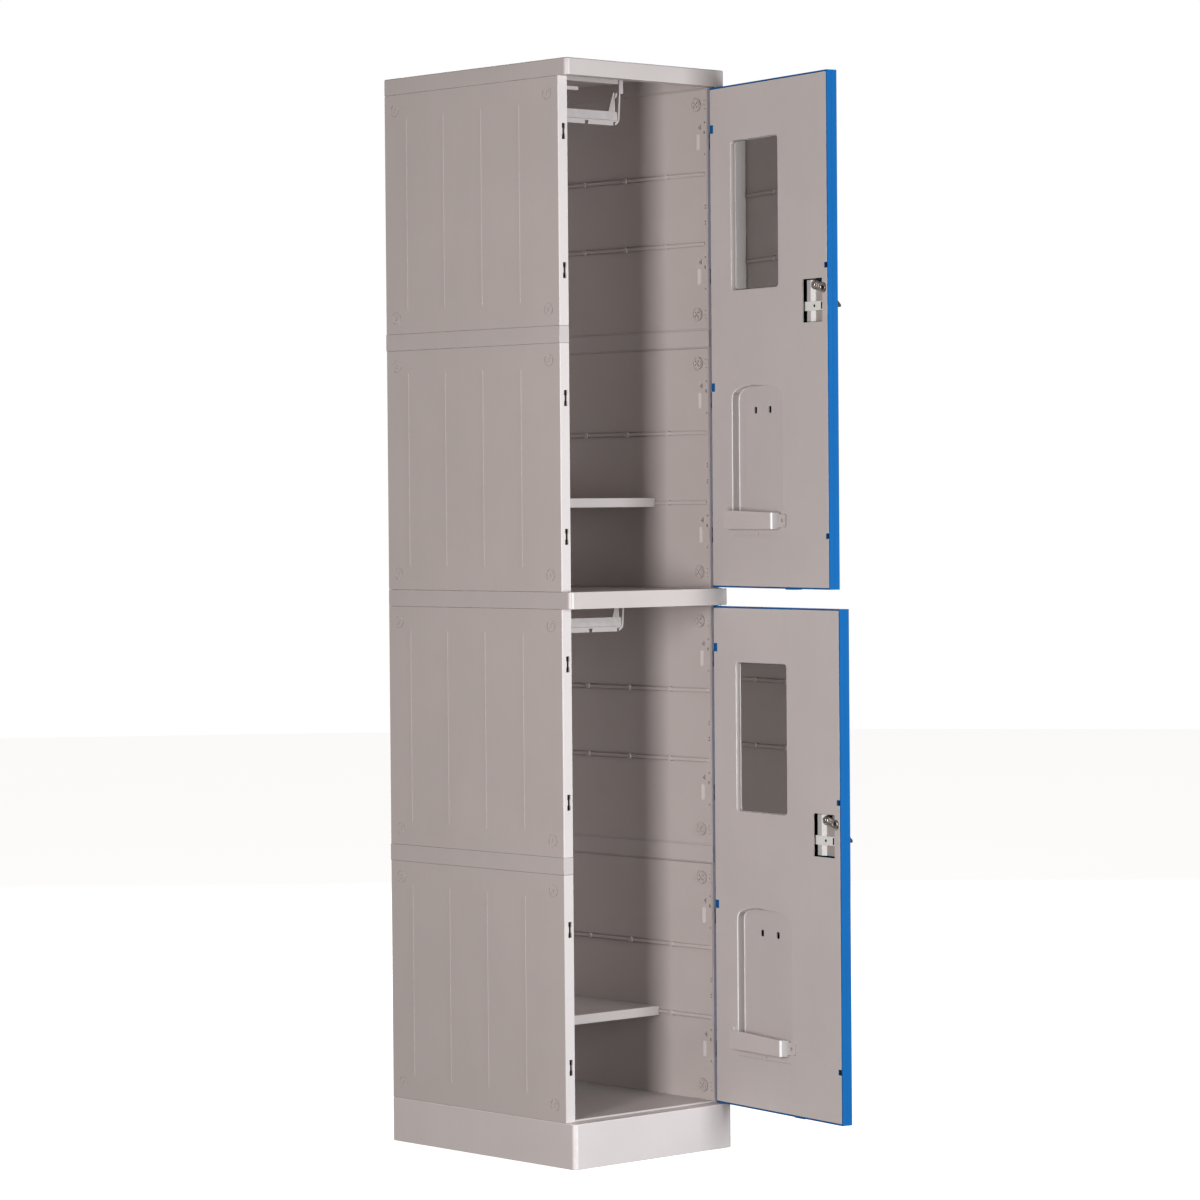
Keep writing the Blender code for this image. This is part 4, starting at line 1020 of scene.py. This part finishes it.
def door_shell(level):
    """The door's outer moulding: rounded ends, a border line, and a parting line down its free edge."""
    node = f"{level}_door_shell"
    obj = cad_copy(node, f"{node}_pan")
    obj.data.transform(door_matrix(level).inverted())
    outside = -HALF_DOOR

    def outline(a, b):
        flat = abs(a.z - b.z) < 1e-5
        end = min(a.z, b.z) > DOOR_HEIGHT - 1e-4 or max(abs(a.z), abs(b.z)) < 1e-4
        low = max(a.y, b.y) < outside + 0.0035 and max(a.x, b.x) < 0.002
        return flat and end and low

    soften(obj, 0.0014, 3, pick=outline)

    def border(inset, radius):
        return rounded(-DOOR_REACH + inset, inset, -inset, DOOR_HEIGHT - inset, radius, 6)

    inset, width = 0.022, 0.0016
    outer, inner = border(inset, 0.012), border(inset + width, 0.0105)
    groove = helper(f"{node}_groove", [prism(outer, "XZ", outside - 0.01, outside + 0.0006)])
    carve(groove, [("DIFFERENCE", [prism(inner, "XZ", outside - 0.02, outside + 0.01)])])
    add_boolean(obj, "groove", "DIFFERENCE", groove, overlapping=False)
    line = box((-DOOR_REACH - 0.001, 0.0008, 0.004), (-DOOR_REACH + 0.0005, 0.0016, DOOR_HEIGHT - 0.004))
    carve(obj, [("DIFFERENCE", [line])])
    bpy.data.objects.remove(groove, do_unlink=True)

    # Faces inside the shell's hollow, clear of its rim, take the near black blue: painted shade.
    def finish_of(face):
        centre = face.center
        inside = -HALF_DOOR + 0.001 < centre.y < HALF_DOOR - 0.001
        clear = -DOOR_REACH + 0.001 < centre.x < -0.006 and 0.001 < centre.z < DOOR_HEIGHT - 0.001
        return BLUE_PAINTED_SHADE if inside and clear else None

    settle(obj, f"{level}_door", BLUES, [node], door_matrix(level), finish_of=finish_of)


LOCK_X, LOCK_DROP = -0.3225, 0.368
CAM_REACH = 0.0245
CAM_DROP = 13.0  # degrees below level


def lock_case(level):
    """A folded plate: a flange, a rib that leans to the free edge, and a lower step."""
    node = f"{level}_lock_case"
    base = SKIN - HALF_DOOR + GAP
    profile = [
        (-0.3475, base), (-0.2882, base), (-0.2882, 0.0), (-0.3010, 0.0), (-0.3016, 0.0015),
        (-0.3115, -0.0024), (-0.3117, -0.0044), (-0.3475, -0.0044),
    ]
    bottom, top = DOOR_HEIGHT - 0.431, DOOR_HEIGHT - 0.3585
    obj = helper(f"{node}_plate", [prism(profile, "XY", bottom, top)])
    hole = disc("XZ", (LOCK_X, DOOR_HEIGHT - LOCK_DROP), 0.0093, -0.03, 0.03, 32)
    dimple = disc("XZ", (-0.3385, DOOR_HEIGHT - 0.4240), 0.0022, -0.0054, 0.01, 16)
    carve(obj, [("DIFFERENCE", [hole, dimple])])
    soften(obj, 0.0004, 2)

    # On the faces that look out of the door, the rib takes the painted highlight and the lower step the
    # painted shade.
    def finish_of(face):
        if face.normal.y < 0.5 or face.center.x > -0.3011:
            return None
        return SATIN_PAINTED_HIGHLIGHT if face.center.x > -0.3116 else SATIN_PAINTED_SHADE

    settle(obj, f"{level}_door", SATINS, [node], door_matrix(level), finish_of=finish_of)


def lock_clip(level):
    """A strap across the case. Its boxed end has a hole beside it and a slit in it."""
    node = f"{level}_lock_clip"
    z = DOOR_HEIGHT - 0.404
    obj = helper(f"{node}_strap", [box((-0.3425, 0.0018, z - 0.008), (-0.2840, 0.0034, z + 0.008))])
    case = box((-0.3420, -0.0040, z - 0.0076), (-0.3135, 0.0045, z + 0.0076))
    hole = disc("XZ", (-0.3172, z), 0.0027, 0.0004, 0.01, 20)
    slit = box((-0.3413, 0.0004, z - 0.0062), (-0.3372, 0.0100, z + 0.0062))
    frame_lines = []
    for rise in (-0.0058, 0.0058):
        frame_lines.append(box((-0.3360, 0.0038, z + rise - 0.0004), (-0.3210, 0.0100, z + rise + 0.0004)))
    frame_lines.append(box((-0.3218, 0.0038, z - 0.0062), (-0.3210, 0.0100, z + 0.0062)))
    carve(obj, [("UNION", [case]), ("DIFFERENCE", [hole, slit]), ("DIFFERENCE", frame_lines)])
    soften(obj, 0.0002, 2)

    # Faces inside the hole and the slit take the dark: painted shade.
    def finish_of(face):
        centre = face.center
        across = -0.3413 < centre.x < -0.3370 or -0.3200 < centre.x < -0.3144
        sunk = 0.0003 < centre.y < 0.0040 and face.normal.y > -0.5
        return DARK_PLASTIC_AND_PAINTED_SHADE if across and sunk and abs(centre.z - z) < 0.0063 else None

    settle(obj, f"{level}_door", CLIPS, [node], door_matrix(level), finish_of=finish_of)


def lock_turning(level):
    """The barrel, the cam with its round eye, and the nut that holds it: they turn together."""
    place = door_matrix(level)
    x, z = LOCK_X, DOOR_HEIGHT - LOCK_DROP
    bore = disc("XZ", (x, z), 0.0048, 0.0, 0.02)
    heading = 180 + CAM_DROP
    end = (x + CAM_REACH * math.cos(math.radians(heading)), z + CAM_REACH * math.sin(math.radians(heading)))
    outline = arc((x, z), 0.0085, heading + 70, heading + 290, 14)
    outline += arc(end, 0.0080, heading - 75, heading + 75, 20)
    cam = helper(f"{level}_lock_cam_lever", [prism(outline, "XZ", 0.0050, 0.0075)])
    carve(cam, [("DIFFERENCE", [bore]), ("DIFFERENCE", [disc("XZ", end, 0.0050, 0.0, 0.02)])])
    soften(cam, 0.0011, 4, pick=lambda a, b: min(a.y, b.y) > 0.0074)
    settle(cam, f"{level}_lock", STEELS, [f"{level}_lock_cam"], place, 60)

    hexagon = arc((x, z), 0.0082, 30, 330, 5)
    nut = helper(f"{level}_lock_nut_hex", [prism(hexagon, "XZ", 0.0078, 0.0105)])
    soften(nut, 0.0015, 2, pick=lambda a, b: min(a.y, b.y) > 0.0104)
    carve(nut, [("DIFFERENCE", [bore])])
    settle(nut, f"{level}_lock", CHROMES, [f"{level}_lock_nut"], place, 20)

    barrel = cad_copy(f"{level}_lock_barrel", f"{level}_lock_barrel_turned")
    barrel.data.transform(place.inverted())
    soften(barrel, 0.0018, 4, pick=lambda a, b: min(a.y, b.y) > 0.0104)
    socket = prism(arc((x, z), 0.0016, 0, 300, 5), "XZ", 0.0080, 0.02)
    carve(barrel, [("DIFFERENCE", [socket])])
    settle(barrel, f"{level}_lock", CHROMES, [f"{level}_lock_barrel"], place)


def door_fittings(level):
    """The mirror, the pull and the lock of one door."""
    place = door_matrix(level)
    for part, finish, slot, width in (
        ("door_mirror", GLASSES, "mirror", 0.0008),
        ("door_pull", DARKS, "dark_plastic", 0.0010),
    ):
        node = f"{level}_{part}"
        obj = cad_copy(node, f"{node}_detail")
        obj.data.transform(place.inverted())
        soften(obj, width, 2)
        settle(obj, f"{level}_door", finish, [node], place)
    lock_case(level)
    lock_clip(level)
    lock_turning(level)


def doors():
    for level in DOORS:
        door_shell(level)
        door_liner(level)
        umbrella_bar(level)
        door_fittings(level)


def carried_nodes():
    """CAD solids whose shape is right take the detailed materials."""
    finishes = {"floor_panel": PALE}
    for level in DOORS:
        for end in ("bottom", "top"):
            finishes[f"{level}_hinge_pin_{end}"] = STEEL
    for name, material in finishes.items():
        node = frame["nodes"][name]
        node.data.materials.clear()
        node.data.materials.append(material)


carcass()
shelves()
hanger_rails()
doors()
carried_nodes()


# ---------------------------------------------------------------- studio


def stage_floor():
    """A wide, pale, slightly glowing floor, so bright that it runs into the white behind it."""
    shape = bmesh.new()
    bmesh.ops.create_circle(shape, cap_ends=True, segments=96, radius=14.0)
    floor = linked("studio_floor", shape)
    floor.location.z = -0.0004
    tree = Tree("studio_floor")
    tone = tree.noise(1.3, 3.0)
    tree.into("Base Color", tree.tint((0.80, 0.80, 0.80), tree.spread(tone, 0.985, 1.015)))
    tree.into("Roughness", tree.spread(tone, 0.75, 0.85))
    tree.set(Emission_Color=(1.0, 1.0, 1.0, 1.0), Emission_Strength=0.86, Specular_IOR_Level=0.1)
    floor.data.materials.append(tree.material)
    floor.visible_diffuse = False
    floor.visible_glossy = False


def softbox(name, location, target, width, height, power, colour=(1.0, 1.0, 1.0)):
    """A rectangular lamp that faces its target."""
    lamp = bpy.data.lights.new(name, "AREA")
    lamp.shape = "RECTANGLE"
    lamp.size = width
    lamp.size_y = height
    lamp.energy = power
    lamp.color = colour
    obj = bpy.data.objects.new(name, lamp)
    bpy.context.scene.collection.objects.link(obj)
    obj.location = location
    way = Vector(target) - Vector(location)
    obj.rotation_euler = way.to_track_quat("-Z", "Y").to_euler()


def world():
    """White to the eye, and a low, warm light on everything else."""
    made = bpy.data.worlds.new("studio")
    made.use_nodes = True
    tree = made.node_tree
    background = tree.nodes["Background"]
    background.inputs["Color"].default_value = (1.0, 0.92, 0.84, 1.0)
    background.inputs["Strength"].default_value = 0.120
    seen = tree.nodes.new("ShaderNodeBackground")
    seen.inputs["Color"].default_value = (1.0, 1.0, 1.0, 1.0)
    seen.inputs["Strength"].default_value = 1.0
    rays = tree.nodes.new("ShaderNodeLightPath")
    mix = tree.nodes.new("ShaderNodeMixShader")
    tree.links.new(rays.outputs["Is Camera Ray"], mix.inputs["Fac"])
    tree.links.new(background.outputs["Background"], mix.inputs[1])
    tree.links.new(seen.outputs["Background"], mix.inputs[2])
    tree.links.new(mix.outputs["Shader"], tree.nodes["World Output"].inputs["Surface"])
    bpy.context.scene.world = made


def camera():
    """Far off and nearly level, turned 42 degrees to the locker's left side."""
    azimuth, elevation, roll = math.radians(42.24), math.radians(1.29), math.radians(-0.456)
    right = Vector((math.cos(azimuth), -math.sin(azimuth), 0.0))
    ahead = Vector((
        math.sin(azimuth) * math.cos(elevation),
        math.cos(azimuth) * math.cos(elevation),
        -math.sin(elevation),
    ))
    up = right.cross(ahead)
    tilted = math.cos(roll) * right + math.sin(roll) * up
    above = -math.sin(roll) * right + math.cos(roll) * up
    data = bpy.data.cameras.new("camera")
    data.sensor_width = 36.0
    data.lens = 125.3175
    data.clip_end = 100.0
    obj = bpy.data.objects.new("camera", data)
    matrix = Matrix((tilted, above, -ahead)).transposed().to_4x4()
    matrix.translation = (-5.0393, -5.6651, 1.1599)
    obj.matrix_world = matrix
    bpy.context.scene.collection.objects.link(obj)
    bpy.context.scene.camera = obj


stage_floor()
world()
softbox("key", (-4.10, -1.90, 1.10), (0.0, 0.0, 0.95), 0.75, 1.9, 143.0, (1.0, 0.995, 1.0))
softbox("front", (-0.24, -4.60, 1.00), (0.0, 0.0, 0.95), 0.9, 2.0, 192.0, (0.91, 1.0, 1.05))
softbox("rear", (3.2, 3.4, 2.3), (0.0, 0.0, 1.0), 2.0, 2.0, 90.0)
camera()
bpy.context.scene.view_settings.view_transform = "Standard"
